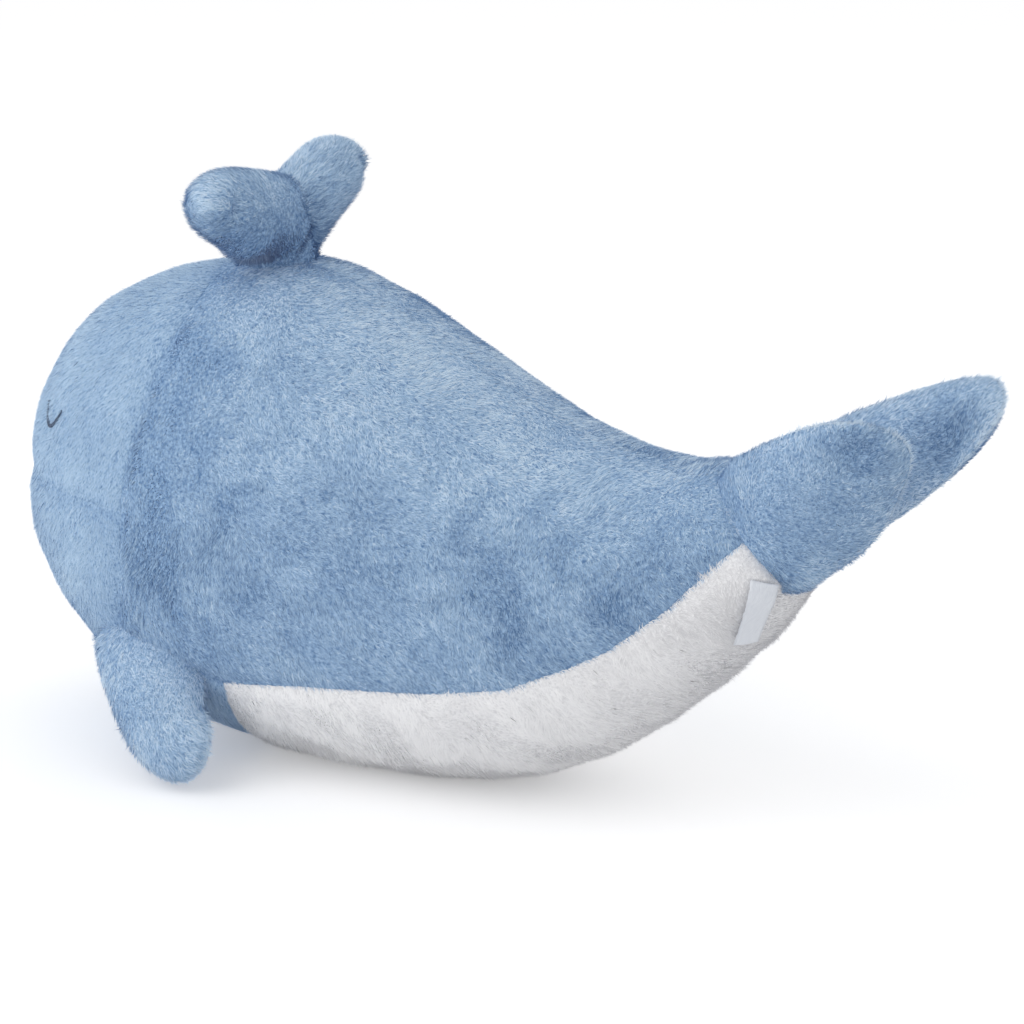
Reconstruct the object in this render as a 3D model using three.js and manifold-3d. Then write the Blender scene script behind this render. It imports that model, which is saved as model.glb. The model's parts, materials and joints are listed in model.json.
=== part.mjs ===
// A plush whale that rocks on its own rounded belly, with two spout lobes to hold on to.
// Millimetres, +Z up, the head towards -X and the whale's left side towards -Y.
import * as THREE from 'three';
import { mergeVertices } from 'three/addons/utils/BufferGeometryUtils.js';
import Module from 'manifold-3d';

const wasm = await Module();
wasm.setup();

// Torso: heights of the back and the belly, and half widths, at stations along X.
const noseX = -430;
const noseHeight = 189;
const headLength = 273;
const crownRounding = 2.15;
const chinRounding = 2.0;
const cheekRounding = 2.3;
const upperFullness = 2.1;
const lowerFullness = 2.15;
const widestShare = 0.46;
const backLine = [
  [noseX, 451], [-339, 426], [-248, 414], [-157, 412], [-66, 379],
  [25, 336], [116, 303], [222, 290], [328, 278],
];
const bellyLine = [
  [noseX, 28], [-339, 15], [-248, 7], [-157, 1], [-66, 0],
  [25, 7], [116, 35], [222, 112], [328, 230],
];
const widthLine = [
  [noseX, 148], [-339, 160], [-248, 165], [-157, 165], [-66, 157],
  [25, 140], [116, 117], [222, 87], [328, 63],
];
const tailEndX = 345;
const restFlatDepth = 2.5;

// Cover: pile and backing together, and the seams between its panels.
const coverThickness = 5;
const limbCoverThickness = 4;
const seamGap = 0.4;
const fillClearance = 0.3;
const mouthHeight = 222;
const faceSeam = [
  [-242, 520], [-230, 420], [-222, 383], [-230, 330], [-241, 255], [-247, 170], [-265, 112],
];
const chestSeam = [[-265, 112], [-210, 96], [-155, 86]];
const bellyFront = [[-155, 86], [-166, 50], [-190, -40]];
const bellySeam = [
  [-155, 86], [-70, 99], [43, 109], [100, 119], [150, 142],
  [179, 158], [224, 195], [276, 251], [360, 350],
];

// Tail: the torso ends in a slanted cut that the two flukes are sewn to.
const tailCutX = 300;
const tailTilt = 42;
const flukeLength = 176;
const flukeSpread = 13.5;
const flukeDrop = 13;
const flukeTwist = 38;
const flukeHalfWidth = 55;
const flukeHalfThickness = 35;
const flukeRootOffset = 31;
const flukeSink = 34;
const flukeArch = 4;
const flukeSwing = [-10, 14];
const flukeForm = { rootShare: [0.82, 1], fullAt: 0.4, taper: [0.12, 0.3], tipFrom: [0.45, 0.55] };

// Flippers: sewn low on the flanks, hanging to just above the floor.
const flipperX = -214;
const flipperRootHeight = 92;
const flipperReach = 34;
const flipperSweep = 60;
const flipperTipHeight = 18;
const flipperHalfWidth = 54;
const flipperHalfThickness = 27;
const flipperSink = 34;
const flipperSwing = [-5, 22];
const flipperBend = { reachShare: 0.8, heightShare: 0.7 };
const flipperForm = { rootShare: [1, 1], fullAt: 0.5, taper: [0.4, 0.15], tipFrom: [0.72, 0.6] };

// Spout: a short stem on the crown with a lobe to each side.
const spoutX = -196;
const stemHeight = 46;
const stemHalfLength = 33;
const stemHalfWidth = 34;
const lobeReach = 104;
const lobeRise = 24;
const lobeHalfLength = 33;
const lobeHalfHeight = 34;
const stemLean = 9;
const stemSink = 30;
const lobeRootOffset = 12;
const lobeSeatDepth = 16;
const lobeSwing = [-14, 16];
const stemForm = { rootShare: [1, 1], fullAt: 0.5, taper: [0, 0], tipFrom: [0.55, 0.55] };
const lobeBend = { reachShare: 0.4, riseShare: 0.9 };
const lobeForm = { rootShare: [0.8, 0.75], fullAt: 0.5, taper: [0, 0], tipFrom: [0.5, 0.45] };

// Frame inside: two rocker boards, three rails and a deck, screwed together.
const frameFrontX = -226;
const frameRearX = 112;
const boardInnerY = 70;
const boardThickness = 12;
const deckTop = 250;
const deckThickness = 12;
const railX = [-186, -58, 70];
const railHeight = 96;
const railLength = 34;
const railDepth = 60;
const screwHeadRadius = 5;
const screwHeadHeight = 4;
const screwRadius = 2.5;
const screwLength = 42;
const screwClearance = 0.2;
const deckScrewInset = 40;
const screwSides = 8;
const railNames = ['front', 'middle', 'rear'];
const deckEnds = ['front', 'rear'];

// Trim: stitched eyes and a bare sewn-in tab.
const eyeX = -355;
const eyeHeight = 285;
const eyeSpan = 27;
const eyeSag = 18;
const eyeThread = 3.2;
const tabWidth = 22;
const tabLength = 62;
const tabThickness = 0.8;
const tabY = -66;
const tabSlant = 35;
const tabEdge = 5;
const tabLift = 1.6;
const tabSwing = [0, 70];

// Fineness of the surfaces.
const noseRingShare = 0.3;
const noseCrowding = 0.9;
const tipCrowding = 1.4;
const tipCut = 0.004;
const eyeSides = 6;
const eyeSteps = 8;
const weldDistance = 1e-4;
const halvings = 40;
const limbRings = 11;
const limbSides = 12;
const torsoRings = 22;
const torsoSides = 32;
const fillRings = 16;
const fillSides = 24;
const limbFillRings = 9;
const limbFillSides = 10;
const tabSteps = 6;
const swingSteps = 4;
const farAway = 700;

const bluePlush = new THREE.MeshStandardMaterial({ color: 0x92adca, roughness: 0.95, metalness: 0 });
const whitePlush = new THREE.MeshStandardMaterial({ color: 0xdedee1, roughness: 0.95, metalness: 0 });
const fibre = new THREE.MeshStandardMaterial({ color: 0xf2f1ea, roughness: 1, metalness: 0 });
const foam = new THREE.MeshStandardMaterial({ color: 0xe8dcb0, roughness: 1, metalness: 0 });
const plywood = new THREE.MeshStandardMaterial({ color: 0xc9a678, roughness: 0.7, metalness: 0 });
const steel = new THREE.MeshStandardMaterial({ color: 0xb8bcc0, roughness: 0.35, metalness: 1 });
const thread = new THREE.MeshStandardMaterial({ color: 0x39455a, roughness: 0.8, metalness: 0 });
const satin = new THREE.MeshStandardMaterial({ color: 0xe9eaee, roughness: 0.5, metalness: 0 });

const group = new THREE.Group();
const vec = (x, y, z) => new THREE.Vector3(x, y, z);

function toSolid(geometry) {
  const plain = geometry.clone();
  plain.deleteAttribute('normal');
  plain.deleteAttribute('uv');
  const merged = mergeVertices(plain, weldDistance);
  const mesh = new wasm.Mesh({
    numProp: 3,
    vertProperties: new Float32Array(merged.attributes.position.array),
    triVerts: new Uint32Array(merged.index.array),
  });
  return new wasm.Manifold(mesh);
}

function toGeometry(solid) {
  const mesh = solid.getMesh();
  const geometry = new THREE.BufferGeometry();
  geometry.setAttribute('position', new THREE.BufferAttribute(mesh.vertProperties, 3));
  geometry.setIndex(new THREE.BufferAttribute(mesh.triVerts, 1));
  return geometry;
}

function addPiece(name, solid, material) {
  const geometry = toGeometry(solid);
  geometry.computeVertexNormals();
  const piece = new THREE.Mesh(geometry, material);
  piece.name = name;
  group.add(piece);
}

// A smooth height through the stations of a line, in the order of their X.
function smoothLine(points) {
  const last = points.length - 1;
  const slope = (i) => {
    const before = points[Math.max(i - 1, 0)];
    const after = points[Math.min(i + 1, last)];
    return (after[1] - before[1]) / (after[0] - before[0]);
  };
  return (x) => {
    const found = points.findIndex((point) => point[0] > x);
    const i = found < 0 ? last : Math.max(found, 1);
    const [x0, y0] = points[i - 1];
    const [x1, y1] = points[i];
    const span = x1 - x0;
    const t = (x - x0) / span;
    const rise = y1 - y0;
    const a = slope(i - 1) * span;
    const b = slope(i) * span;
    return y0 + t * (a + t * (3 * rise - 2 * a - b + t * (a + b - 2 * rise)));
  };
}

const backOf = smoothLine(backLine);
const bellyOf = smoothLine(bellyLine);
const widthOf = smoothLine(widthLine);

// How far the section at x has grown from the nose, 0 at the nose and 1 behind the head.
function growth(x, rounding) {
  const left = Math.max(0, (noseX + headLength - x) / headLength);
  return Math.max(0, 1 - left ** rounding) ** (1 / rounding);
}
const topAt = (x) => noseHeight + (backOf(x) - noseHeight) * growth(x, crownRounding);
const bottomAt = (x) => noseHeight + (bellyOf(x) - noseHeight) * growth(x, chinRounding);
const halfWidthAt = (x) => widthOf(x) * growth(x, cheekRounding);
const middleAt = (x) => bottomAt(x) + (topAt(x) - bottomAt(x)) * widestShare;

// Half the width of the section at x, at one height.
function sideAt(x, z) {
  const middle = middleAt(x);
  const upper = z > middle;
  const fullness = upper ? upperFullness : lowerFullness;
  const reach = upper ? topAt(x) - middle : middle - bottomAt(x);
  const share = Math.min(1, Math.abs(z - middle) / reach);
  return halfWidthAt(x) * (1 - share ** fullness) ** (1 / fullness);
}

function torsoSection(x, sides) {
  const middle = middleAt(x);
  const ring = [];
  for (let j = 0; j < sides; j += 1) {
    const angle = ((j + 0.5) / sides) * 2 * Math.PI;
    const across = Math.cos(angle);
    const up = Math.sin(angle);
    const power = 2 / (up > 0 ? upperFullness : lowerFullness);
    const reach = up > 0 ? topAt(x) - middle : middle - bottomAt(x);
    const y = halfWidthAt(x) * Math.sign(across) * Math.abs(across) ** power;
    ring.push(vec(x, y, middle + reach * Math.sign(up) * Math.abs(up) ** power));
  }
  return ring;
}

// Stations crowd together at the nose, where the section grows fastest.
function torsoRingsOf(count, sides) {
  const rings = [];
  for (let i = 0; i < count; i += 1) {
    const share = (i + noseRingShare) / (count - 1 + noseRingShare);
    const x = noseX + (tailEndX - noseX) * (1 - Math.cos((share * Math.PI) / 2)) ** noseCrowding;
    rings.push(torsoSection(x, sides));
  }
  return rings;
}

// Shares of a limb's half width and half thickness along it, from 0 at its root to 1 at its tip:
// slim at the root, full part of the way, then tapered and rounded off.
function limbShares(form, u) {
  return [0, 1].map((i) => {
    const past = Math.max(0, (u - form.tipFrom[i]) / (1 - form.tipFrom[i]));
    const round = Math.sqrt(Math.max(0, 1 - past * past));
    const grown = THREE.MathUtils.smoothstep(u, 0, form.fullAt);
    return round * (form.rootShare[i] + (1 - form.rootShare[i]) * grown) * (1 - form.taper[i] * u);
  });
}

// A limb follows a bent line, with an oval section at each step.
function limbRingsOf(limb, count, sides) {
  const path = new THREE.QuadraticBezierCurve3(limb.root, limb.bend, limb.tip);
  const rings = [];
  for (let i = 0; i < count; i += 1) {
    const u = (1 - tipCut) * (1 - (1 - i / (count - 1)) ** tipCrowding);
    const centre = path.getPoint(u);
    const along = path.getTangent(u);
    const broad = limb.wide(u);
    const wide = broad.addScaledVector(along, -broad.dot(along)).normalize();
    const thick = along.clone().cross(wide);
    const [widthShare, thickShare] = limbShares(limb.form, u);
    const ring = [];
    for (let j = 0; j < sides; j += 1) {
      const angle = ((j + 0.5) / sides) * 2 * Math.PI;
      const point = centre.clone();
      point.addScaledVector(wide, Math.cos(angle) * limb.halfWidth * widthShare);
      point.addScaledVector(thick, Math.sin(angle) * limb.halfThickness * thickShare);
      ring.push(point);
    }
    rings.push(ring);
  }
  return rings;
}

// The closed skin through a row of rings, set in by a depth along its own normals.
function loft(rings, depth = 0) {
  const count = rings.length;
  const sides = rings[0].length;
  const centreOf = (ring) => ring.reduce((sum, p) => sum.add(p), vec(0, 0, 0)).divideScalar(sides);
  const points = [];
  rings.forEach((ring, i) => {
    const ahead = rings[Math.min(i + 1, count - 1)];
    const behind = rings[Math.max(i - 1, 0)];
    const centre = centreOf(ring);
    ring.forEach((point, j) => {
      const along = ahead[j].clone().sub(behind[j]);
      const around = ring[(j + 1) % sides].clone().sub(ring[(j + sides - 1) % sides]);
      const outward = along.cross(around).normalize();
      const facing = outward.dot(point.clone().sub(centre)) < 0 ? 1 : -1;
      points.push(point.clone().addScaledVector(outward, facing * depth));
    });
  });
  const ends = [0, (count - 1) * sides].map((start) => centreOf(points.slice(start, start + sides)));
  const startPole = points.push(ends[0]) - 1;
  const endPole = points.push(ends[1]) - 1;
  const faces = [];
  for (let j = 0; j < sides; j += 1) {
    const k = (j + 1) % sides;
    faces.push(startPole, k, j);
    faces.push(endPole, (count - 1) * sides + j, (count - 1) * sides + k);
    for (let i = 0; i < count - 1; i += 1) {
      const a = i * sides + j;
      const b = i * sides + k;
      faces.push(a, b, b + sides, a, b + sides, a + sides);
    }
  }
  const geometry = new THREE.BufferGeometry();
  geometry.setAttribute('position', new THREE.Float32BufferAttribute(points.flatMap((p) => p.toArray()), 3));
  geometry.setIndex(faces);
  const solid = toSolid(geometry);
  if (solid.volume() > 0) return geometry;
  geometry.setIndex(faces.reverse());
  return geometry;
}

function block(xs, ys, zs) {
  const geometry = new THREE.BoxGeometry(xs[1] - xs[0], ys[1] - ys[0], zs[1] - zs[0]);
  geometry.translate((xs[0] + xs[1]) / 2, (ys[0] + ys[1]) / 2, (zs[0] + zs[1]) / 2);
  return geometry;
}
const everywhere = [-farAway, farAway];
const above = (z) => toSolid(block(everywhere, everywhere, [z, farAway]));

// A prism across the whole width whose outline is drawn in X and Z.
function acrossWidth(outline) {
  const shape = new THREE.Shape(outline.map(([x, z]) => new THREE.Vector2(x, z)));
  const geometry = new THREE.ExtrudeGeometry(shape, { depth: 2 * farAway, bevelEnabled: false });
  geometry.rotateX(Math.PI / 2);
  geometry.translate(0, farAway, 0);
  return toSolid(geometry);
}

// A thin wall along a seam line, as wide as the gap that the seam leaves.
function seamWall(line) {
  const moved = (sign) => line.map((point, i) => {
    const before = line[Math.max(i - 1, 0)];
    const after = line[Math.min(i + 1, line.length - 1)];
    const along = new THREE.Vector2(after[0] - before[0], after[1] - before[1]).normalize();
    return [point[0] - (along.y * sign * seamGap) / 2, point[1] + (along.x * sign * seamGap) / 2];
  });
  return acrossWidth([...moved(1), ...moved(-1).reverse()]);
}

// The tail's direction, and the middle of the cut across it.
const tailAngle = THREE.MathUtils.degToRad(tailTilt);
const tailAlong = vec(Math.cos(tailAngle), 0, Math.sin(tailAngle));
const tailDown = vec(tailAlong.z, 0, -tailAlong.x);
const tailPoint = vec(tailCutX, 0, middleAt(tailCutX));
// How far the cut runs up or down from the torso's middle before it leaves the torso.
function cutReach(direction) {
  let [low, high] = [0, farAway / 2];
  for (let i = 0; i < halvings; i += 1) {
    const half = (low + high) / 2;
    const point = tailPoint.clone().addScaledVector(tailDown, direction * half);
    const inTorso = point.x < tailEndX && point.z < topAt(point.x) && point.z > bottomAt(point.x);
    if (inTorso) low = half;
    else high = half;
  }
  return low;
}
const tailCentre = tailPoint.clone().addScaledVector(tailDown, (cutReach(1) - cutReach(-1)) / 2);
// The space along the tail between two distances from the cut.
function tailSpace(span) {
  const turned = block(span, everywhere, everywhere);
  turned.rotateY(-tailAngle);
  turned.translate(tailCentre.x, 0, tailCentre.z);
  return turned;
}
const behindTail = toSolid(tailSpace([0, farAway]));

function torsoSolid(depth, count, sides) {
  const whole = toSolid(loft(torsoRingsOf(count, sides), depth));
  return whole.intersect(above(restFlatDepth + depth));
}

// A solid turned about a hinge through its whole swing: with it for 1, and against it for -1,
// which is how a neighbour moves as seen from the hinged piece.
function sweep(geometry, hinge, sense) {
  const [low, high] = hinge.swing;
  let swept = null;
  for (let i = 0; i <= swingSteps; i += 1) {
    const angle = THREE.MathUtils.degToRad(low + ((high - low) * i) / swingSteps);
    const turned = geometry.clone();
    turned.translate(-hinge.pivot.x, -hinge.pivot.y, -hinge.pivot.z);
    turned.applyMatrix4(new THREE.Matrix4().makeRotationAxis(hinge.axis, sense * angle));
    turned.translate(hinge.pivot.x, hinge.pivot.y, hinge.pivot.z);
    const solid = toSolid(turned);
    swept = swept ? swept.add(solid) : solid;
  }
  return swept;
}

// A limb's cover, open where it is sewn on, and the stuffing in it.
function addLimb(name, limb, cutters) {
  const outer = toSolid(loft(limbRingsOf(limb, limbRings, limbSides)));
  const fillRingsOf = limbRingsOf(limb, limbFillRings, limbFillSides);
  let cover = outer.subtract(toSolid(loft(fillRingsOf, limbCoverThickness)));
  let fill = toSolid(loft(fillRingsOf, limbCoverThickness + fillClearance));
  cutters.forEach((cutter) => {
    cover = cover.subtract(cutter);
    fill = fill.subtract(cutter);
  });
  addPiece(`${name}_cover`, cover, bluePlush);
  addPiece(`${name}_stuffing`, fill, fibre);
}

// Torso cover: five panels cut from one skin along the seams.
const torsoOuter = torsoSolid(0, torsoRings, torsoSides).subtract(behindTail);
const skin = torsoOuter.subtract(torsoSolid(coverThickness, fillRings, fillSides));
const seamWalls = [faceSeam, chestSeam, bellyFront, bellySeam].map(seamWall);
const mouthWall = seamWall([[-farAway, mouthHeight], [farAway, mouthHeight]]);
const seamTop = faceSeam[0][1];
const seamBottom = bellyFront[bellyFront.length - 1][1];
const sideOutline = [...faceSeam, ...chestSeam.slice(1), ...bellySeam.slice(1), [farAway, seamTop]];
const bellyOutline = [...bellyFront.slice(1).reverse(), ...bellySeam, [farAway, seamBottom]];
const frontOutline = [
  ...faceSeam, ...chestSeam.slice(1), ...bellyFront.slice(1), [-farAway, seamBottom], [-farAway, seamTop],
];
function panelOf(outline) {
  const cut = skin.intersect(acrossWidth(outline));
  return seamWalls.reduce((panel, wall) => panel.subtract(wall), cut);
}

// The point of the torso's side at x and z, on the left for -1 and the right for 1.
const sidePoint = (x, z, hand) => vec(x, hand * sideAt(x, z), z);

// Stitched eyes: closed lids, drawn as an arc of thread let into the face.
function eyeSolid(hand, radius) {
  const line = [-1, -0.5, 0, 0.5, 1].map((t) => {
    const sag = eyeSag * (1 - t * t);
    return sidePoint(eyeX + (t * eyeSpan) / 2, eyeHeight - sag, hand);
  });
  const circle = new THREE.EllipseCurve(0, 0, radius, radius).getPoints(eyeSides);
  const round = new THREE.Shape(circle.slice(0, eyeSides));
  const path = new THREE.CatmullRomCurve3(line);
  const options = { steps: eyeSteps, extrudePath: path, bevelEnabled: false };
  return toSolid(new THREE.ExtrudeGeometry(round, options));
}

// Sewn-in tab: a ribbon that hangs from the tail's edge and lies on the belly, slanting inward.
function bellyPoint(x, y) {
  const middle = middleAt(x);
  const share = Math.max(0, 1 - Math.abs(y / halfWidthAt(x)) ** lowerFullness);
  return vec(x, y, middle - (middle - bottomAt(x)) * share ** (1 / lowerFullness));
}
const pastTailCut = (point) => point.clone().sub(tailCentre).dot(tailAlong);
function tabLine() {
  let [low, high] = [tailCutX - tabLength, tailEndX];
  for (let i = 0; i < halvings; i += 1) {
    const x = (low + high) / 2;
    if (pastTailCut(bellyPoint(x, tabY)) < -tabEdge) low = x;
    else high = x;
  }
  const line = [bellyPoint(low, tabY)];
  const slant = THREE.MathUtils.degToRad(tabSlant);
  const heading = vec(-Math.cos(slant), Math.sin(slant), 0);
  const step = tabLength / tabSteps;
  for (let i = 0; i < tabSteps; i += 1) {
    const onward = (reach) => {
      const ahead = line[i].clone().addScaledVector(heading, reach);
      return bellyPoint(ahead.x, ahead.y);
    };
    let [near, far] = [0, step];
    for (let j = 0; j < halvings; j += 1) {
      const reach = (near + far) / 2;
      if (onward(reach).distanceTo(line[i]) < step) near = reach;
      else far = reach;
    }
    line.push(onward(near));
  }
  return line;
}
// The tab's directions at each of its points: along it, across it and away from the belly.
function tabFrames() {
  const line = tabLine();
  return line.map((point, i) => {
    const along = line[Math.min(i + 1, tabSteps)].clone().sub(line[Math.max(i - 1, 0)]).normalize();
    const beside = bellyPoint(point.x, point.y + tabThickness).sub(point);
    const out = along.clone().cross(beside).normalize();
    const across = out.clone().cross(along);
    return { middle: point.clone().addScaledVector(out, tabLift + tabThickness / 2), across, out };
  });
}
const tab = tabFrames();
const tabCorners = [[1, 1], [-1, 1], [-1, -1], [1, -1]];
const tabRings = tab.map(({ middle, across, out }) => tabCorners.map(([side, face]) => {
  const corner = middle.clone().addScaledVector(across, (side * tabWidth) / 2);
  return corner.addScaledVector(out, (face * tabThickness) / 2);
}));

// Where each moving piece turns, about which axis, and how far each way in degrees.
const hinges = {
  sewn_tab: { pivot: tab[0].middle, axis: tab[0].across.clone().negate(), swing: tabSwing },
};

const halves = { left: -1, right: 1 };
const halfSpace = (hand, from) => block(
  everywhere, hand < 0 ? [-farAway, -from] : [from, farAway], everywhere,
);
const sides = panelOf(sideOutline);
const front = panelOf(frontOutline).subtract(mouthWall);
let face = front.intersect(above(mouthHeight));
Object.entries(halves).forEach(([side, hand]) => {
  addPiece(`${side}_side_panel`, sides.intersect(toSolid(halfSpace(hand, seamGap / 2))), bluePlush);
  addPiece(`${side}_eye`, eyeSolid(hand, eyeThread / 2), thread);
  face = face.subtract(eyeSolid(hand, eyeThread / 2 + fillClearance));
});
addPiece('face_panel', face, bluePlush);
addPiece('chin_panel', front.subtract(above(mouthHeight)), bluePlush);
addPiece('belly_panel', panelOf(bellyOutline), whitePlush);
addPiece('sewn_tab', toSolid(loft(tabRings)), satin);

// Limbs: each is trimmed by the torso, and by its twin, over its whole swing.
const torsoClear = toGeometry(torsoSolid(-seamGap, torsoRings, torsoSides).subtract(behindTail));
const aheadOfTail = tailSpace([-farAway, seamGap]);

Object.entries(halves).forEach(([side, hand]) => {
  const seat = tailCentre.clone().add(vec(0, hand * flukeRootOffset, 0));
  const spread = THREE.MathUtils.degToRad(flukeSpread);
  const reach = tailAlong.clone().multiplyScalar(Math.cos(spread)).add(vec(0, hand * Math.sin(spread), 0));
  const fluke = {
    root: seat.clone().addScaledVector(reach, -flukeSink),
    bend: seat.clone().addScaledVector(reach, flukeLength / 2).addScaledVector(tailDown, -flukeArch),
    tip: seat.clone().addScaledVector(reach, flukeLength).addScaledVector(tailDown, flukeDrop),
    wide: (u) => {
      const twist = THREE.MathUtils.degToRad(flukeTwist) * u;
      return tailDown.clone().multiplyScalar(Math.cos(twist)).add(vec(0, -hand * Math.sin(twist), 0));
    },
    halfWidth: flukeHalfWidth,
    halfThickness: flukeHalfThickness,
    form: flukeForm,
  };
  const hinge = { pivot: seat, axis: tailDown.clone().multiplyScalar(-hand), swing: flukeSwing };
  hinges[`${side}_fluke`] = hinge;
  const twin = halfSpace(-hand, -seamGap / 2);
  addLimb(`${side}_fluke`, fluke, [aheadOfTail, twin].map(
    (neighbour) => sweep(neighbour, hinge, -1),
  ));
});

Object.entries(halves).forEach(([side, hand]) => {
  const seat = sidePoint(flipperX, flipperRootHeight, hand);
  const flipper = {
    root: seat.clone().add(vec(0, -hand * flipperSink, flipperSink / 2)),
    bend: vec(
      seat.x,
      hand * (Math.abs(seat.y) + flipperReach * flipperBend.reachShare),
      seat.z * flipperBend.heightShare,
    ),
    tip: vec(flipperX + flipperSweep, hand * (Math.abs(seat.y) + flipperReach), flipperTipHeight),
    wide: () => vec(1, 0, 0),
    halfWidth: flipperHalfWidth,
    halfThickness: flipperHalfThickness,
    form: flipperForm,
  };
  const hinge = { pivot: seat, axis: vec(hand, 0, 0), swing: flipperSwing };
  hinges[`${side}_flipper`] = hinge;
  addLimb(`${side}_flipper`, flipper, [sweep(torsoClear, hinge, -1)]);
});

const crown = vec(spoutX, 0, topAt(spoutX));
const fork = crown.clone().add(vec(stemLean, 0, stemHeight));
const stem = {
  root: crown.clone().add(vec(0, 0, -stemSink)),
  bend: crown.clone(),
  tip: fork,
  wide: () => vec(0, 1, 0),
  halfWidth: stemHalfWidth,
  halfThickness: stemHalfLength,
  form: stemForm,
};
addLimb('spout_stem', stem, [toSolid(torsoClear)]);
const stemClear = loft(limbRingsOf(stem, limbRings, limbSides), -seamGap);
Object.entries(halves).forEach(([side, hand]) => {
  const seat = fork.clone().add(vec(0, hand * lobeRootOffset, -lobeSeatDepth));
  const lobe = {
    root: seat.clone().add(vec(0, -hand * lobeRootOffset, -lobeSeatDepth)),
    bend: seat.clone().add(vec(0, hand * lobeReach * lobeBend.reachShare, lobeRise * lobeBend.riseShare)),
    tip: fork.clone().add(vec(-stemLean, hand * lobeReach, lobeRise)),
    wide: () => vec(1, 0, 0),
    halfWidth: lobeHalfLength,
    halfThickness: lobeHalfHeight,
    form: lobeForm,
  };
  const hinge = { pivot: seat, axis: vec(hand, 0, 0), swing: lobeSwing };
  hinges[`${side}_spout_lobe`] = hinge;
  const twin = halfSpace(-hand, -seamGap / 2);
  addLimb(`${side}_spout_lobe`, lobe, [stemClear, torsoClear, twin].map(
    (neighbour) => sweep(neighbour, hinge, -1),
  ));
});

// Inside: stuffing and foam packed round a screwed frame of boards.
const stuffed = torsoSolid(coverThickness + fillClearance, fillRings, fillSides);
const inside = stuffed.subtract(behindTail);
const boardOuterY = boardInnerY + boardThickness;
const deckBottom = deckTop - deckThickness;
const frameSpan = [frameFrontX, frameRearX];
const within = (xs, ys, zs) => inside.intersect(toSolid(block(xs, ys, zs)));

// A wood screw with its head at the origin, driven along -Y.
function screwAlongY(margin) {
  const profile = [
    [0, -screwLength - margin], [screwRadius + margin, -screwLength + screwRadius],
    [screwRadius + margin, -screwHeadHeight - margin], [screwHeadRadius + margin, -screwHeadHeight - margin],
    [screwHeadRadius + margin, margin], [0, margin],
  ];
  return new THREE.LatheGeometry(profile.map(([r, y]) => new THREE.Vector2(r, y)), screwSides);
}

const rails = railX.map((x) => toSolid(block(
  [x - railLength / 2, x + railLength / 2],
  [-boardInnerY + fillClearance, boardInnerY - fillClearance],
  [railHeight - railDepth / 2, railHeight + railDepth / 2],
)));
const screws = [];
Object.entries(halves).forEach(([side, hand]) => {
  railX.forEach((x, i) => {
    const place = (margin) => {
      const screw = screwAlongY(margin);
      if (hand < 0) screw.rotateZ(Math.PI);
      return toSolid(screw.translate(x, hand * boardOuterY, railHeight));
    };
    const name = `${side}_${railNames[i]}_rail_screw`;
    screws.push({ name, solid: place(0), hole: place(screwClearance) });
  });
  [frameFrontX + deckScrewInset, frameRearX - deckScrewInset].forEach((x, i) => {
    const place = (margin) => {
      const screw = screwAlongY(margin).rotateX(Math.PI / 2);
      return toSolid(screw.translate(x, hand * (boardInnerY + boardThickness / 2), deckTop));
    };
    const name = `${side}_${deckEnds[i]}_deck_screw`;
    screws.push({ name, solid: place(0), hole: place(screwClearance) });
  });
});
const drill = (solid) => screws.reduce((drilled, screw) => drilled.subtract(screw.hole), solid);

Object.entries(halves).forEach(([side, hand]) => {
  const boardSpan = [boardInnerY, boardOuterY].map((y) => hand * y).sort((a, b) => a - b);
  const board = within(frameSpan, boardSpan, [-farAway, deckBottom - fillClearance]);
  addPiece(`${side}_rocker_board`, drill(board), plywood);
  const outside = toSolid(halfSpace(hand, boardOuterY + fillClearance));
  addPiece(`${side}_flank_stuffing`, within(frameSpan, everywhere, everywhere).intersect(outside), fibre);
});
const deckSpan = [-boardOuterY, boardOuterY];
addPiece('deck_board', drill(within(frameSpan, deckSpan, [deckBottom, deckTop])), plywood);
rails.forEach((rail, i) => addPiece(`${railNames[i]}_rail`, drill(rail), plywood));
screws.forEach((screw) => addPiece(screw.name, screw.solid, steel));
const coreSpan = [-boardInnerY + fillClearance, boardInnerY - fillClearance];
const core = within(frameSpan, coreSpan, [-farAway, deckBottom - fillClearance]);
const railClear = railX.map((x) => toSolid(block(
  [x - railLength / 2 - fillClearance, x + railLength / 2 + fillClearance],
  everywhere,
  [railHeight - railDepth / 2 - fillClearance, railHeight + railDepth / 2 + fillClearance],
)));
addPiece('core_stuffing', railClear.reduce((rest, rail) => rest.subtract(rail), core), fibre);
addPiece('saddle_foam', within(frameSpan, deckSpan, [deckTop + fillClearance, farAway]), foam);
addPiece('head_stuffing', within([-farAway, frameFrontX - fillClearance], everywhere, everywhere), fibre);
addPiece('tail_stuffing', within([frameRearX + fillClearance, farAway], everywhere, everywhere), fibre);

// Stand the toy on the floor, with the middle of its length over the origin.
const extent = new THREE.Box3().setFromObject(group);
group.position.set(-(extent.min.x + extent.max.x) / 2, 0, -extent.min.z);
group.userData.hinges = hinges;

export default group;
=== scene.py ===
import json
import math

import bmesh
import bpy
import numpy as np
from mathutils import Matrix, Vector
from mathutils.bvhtree import BVHTree


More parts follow.
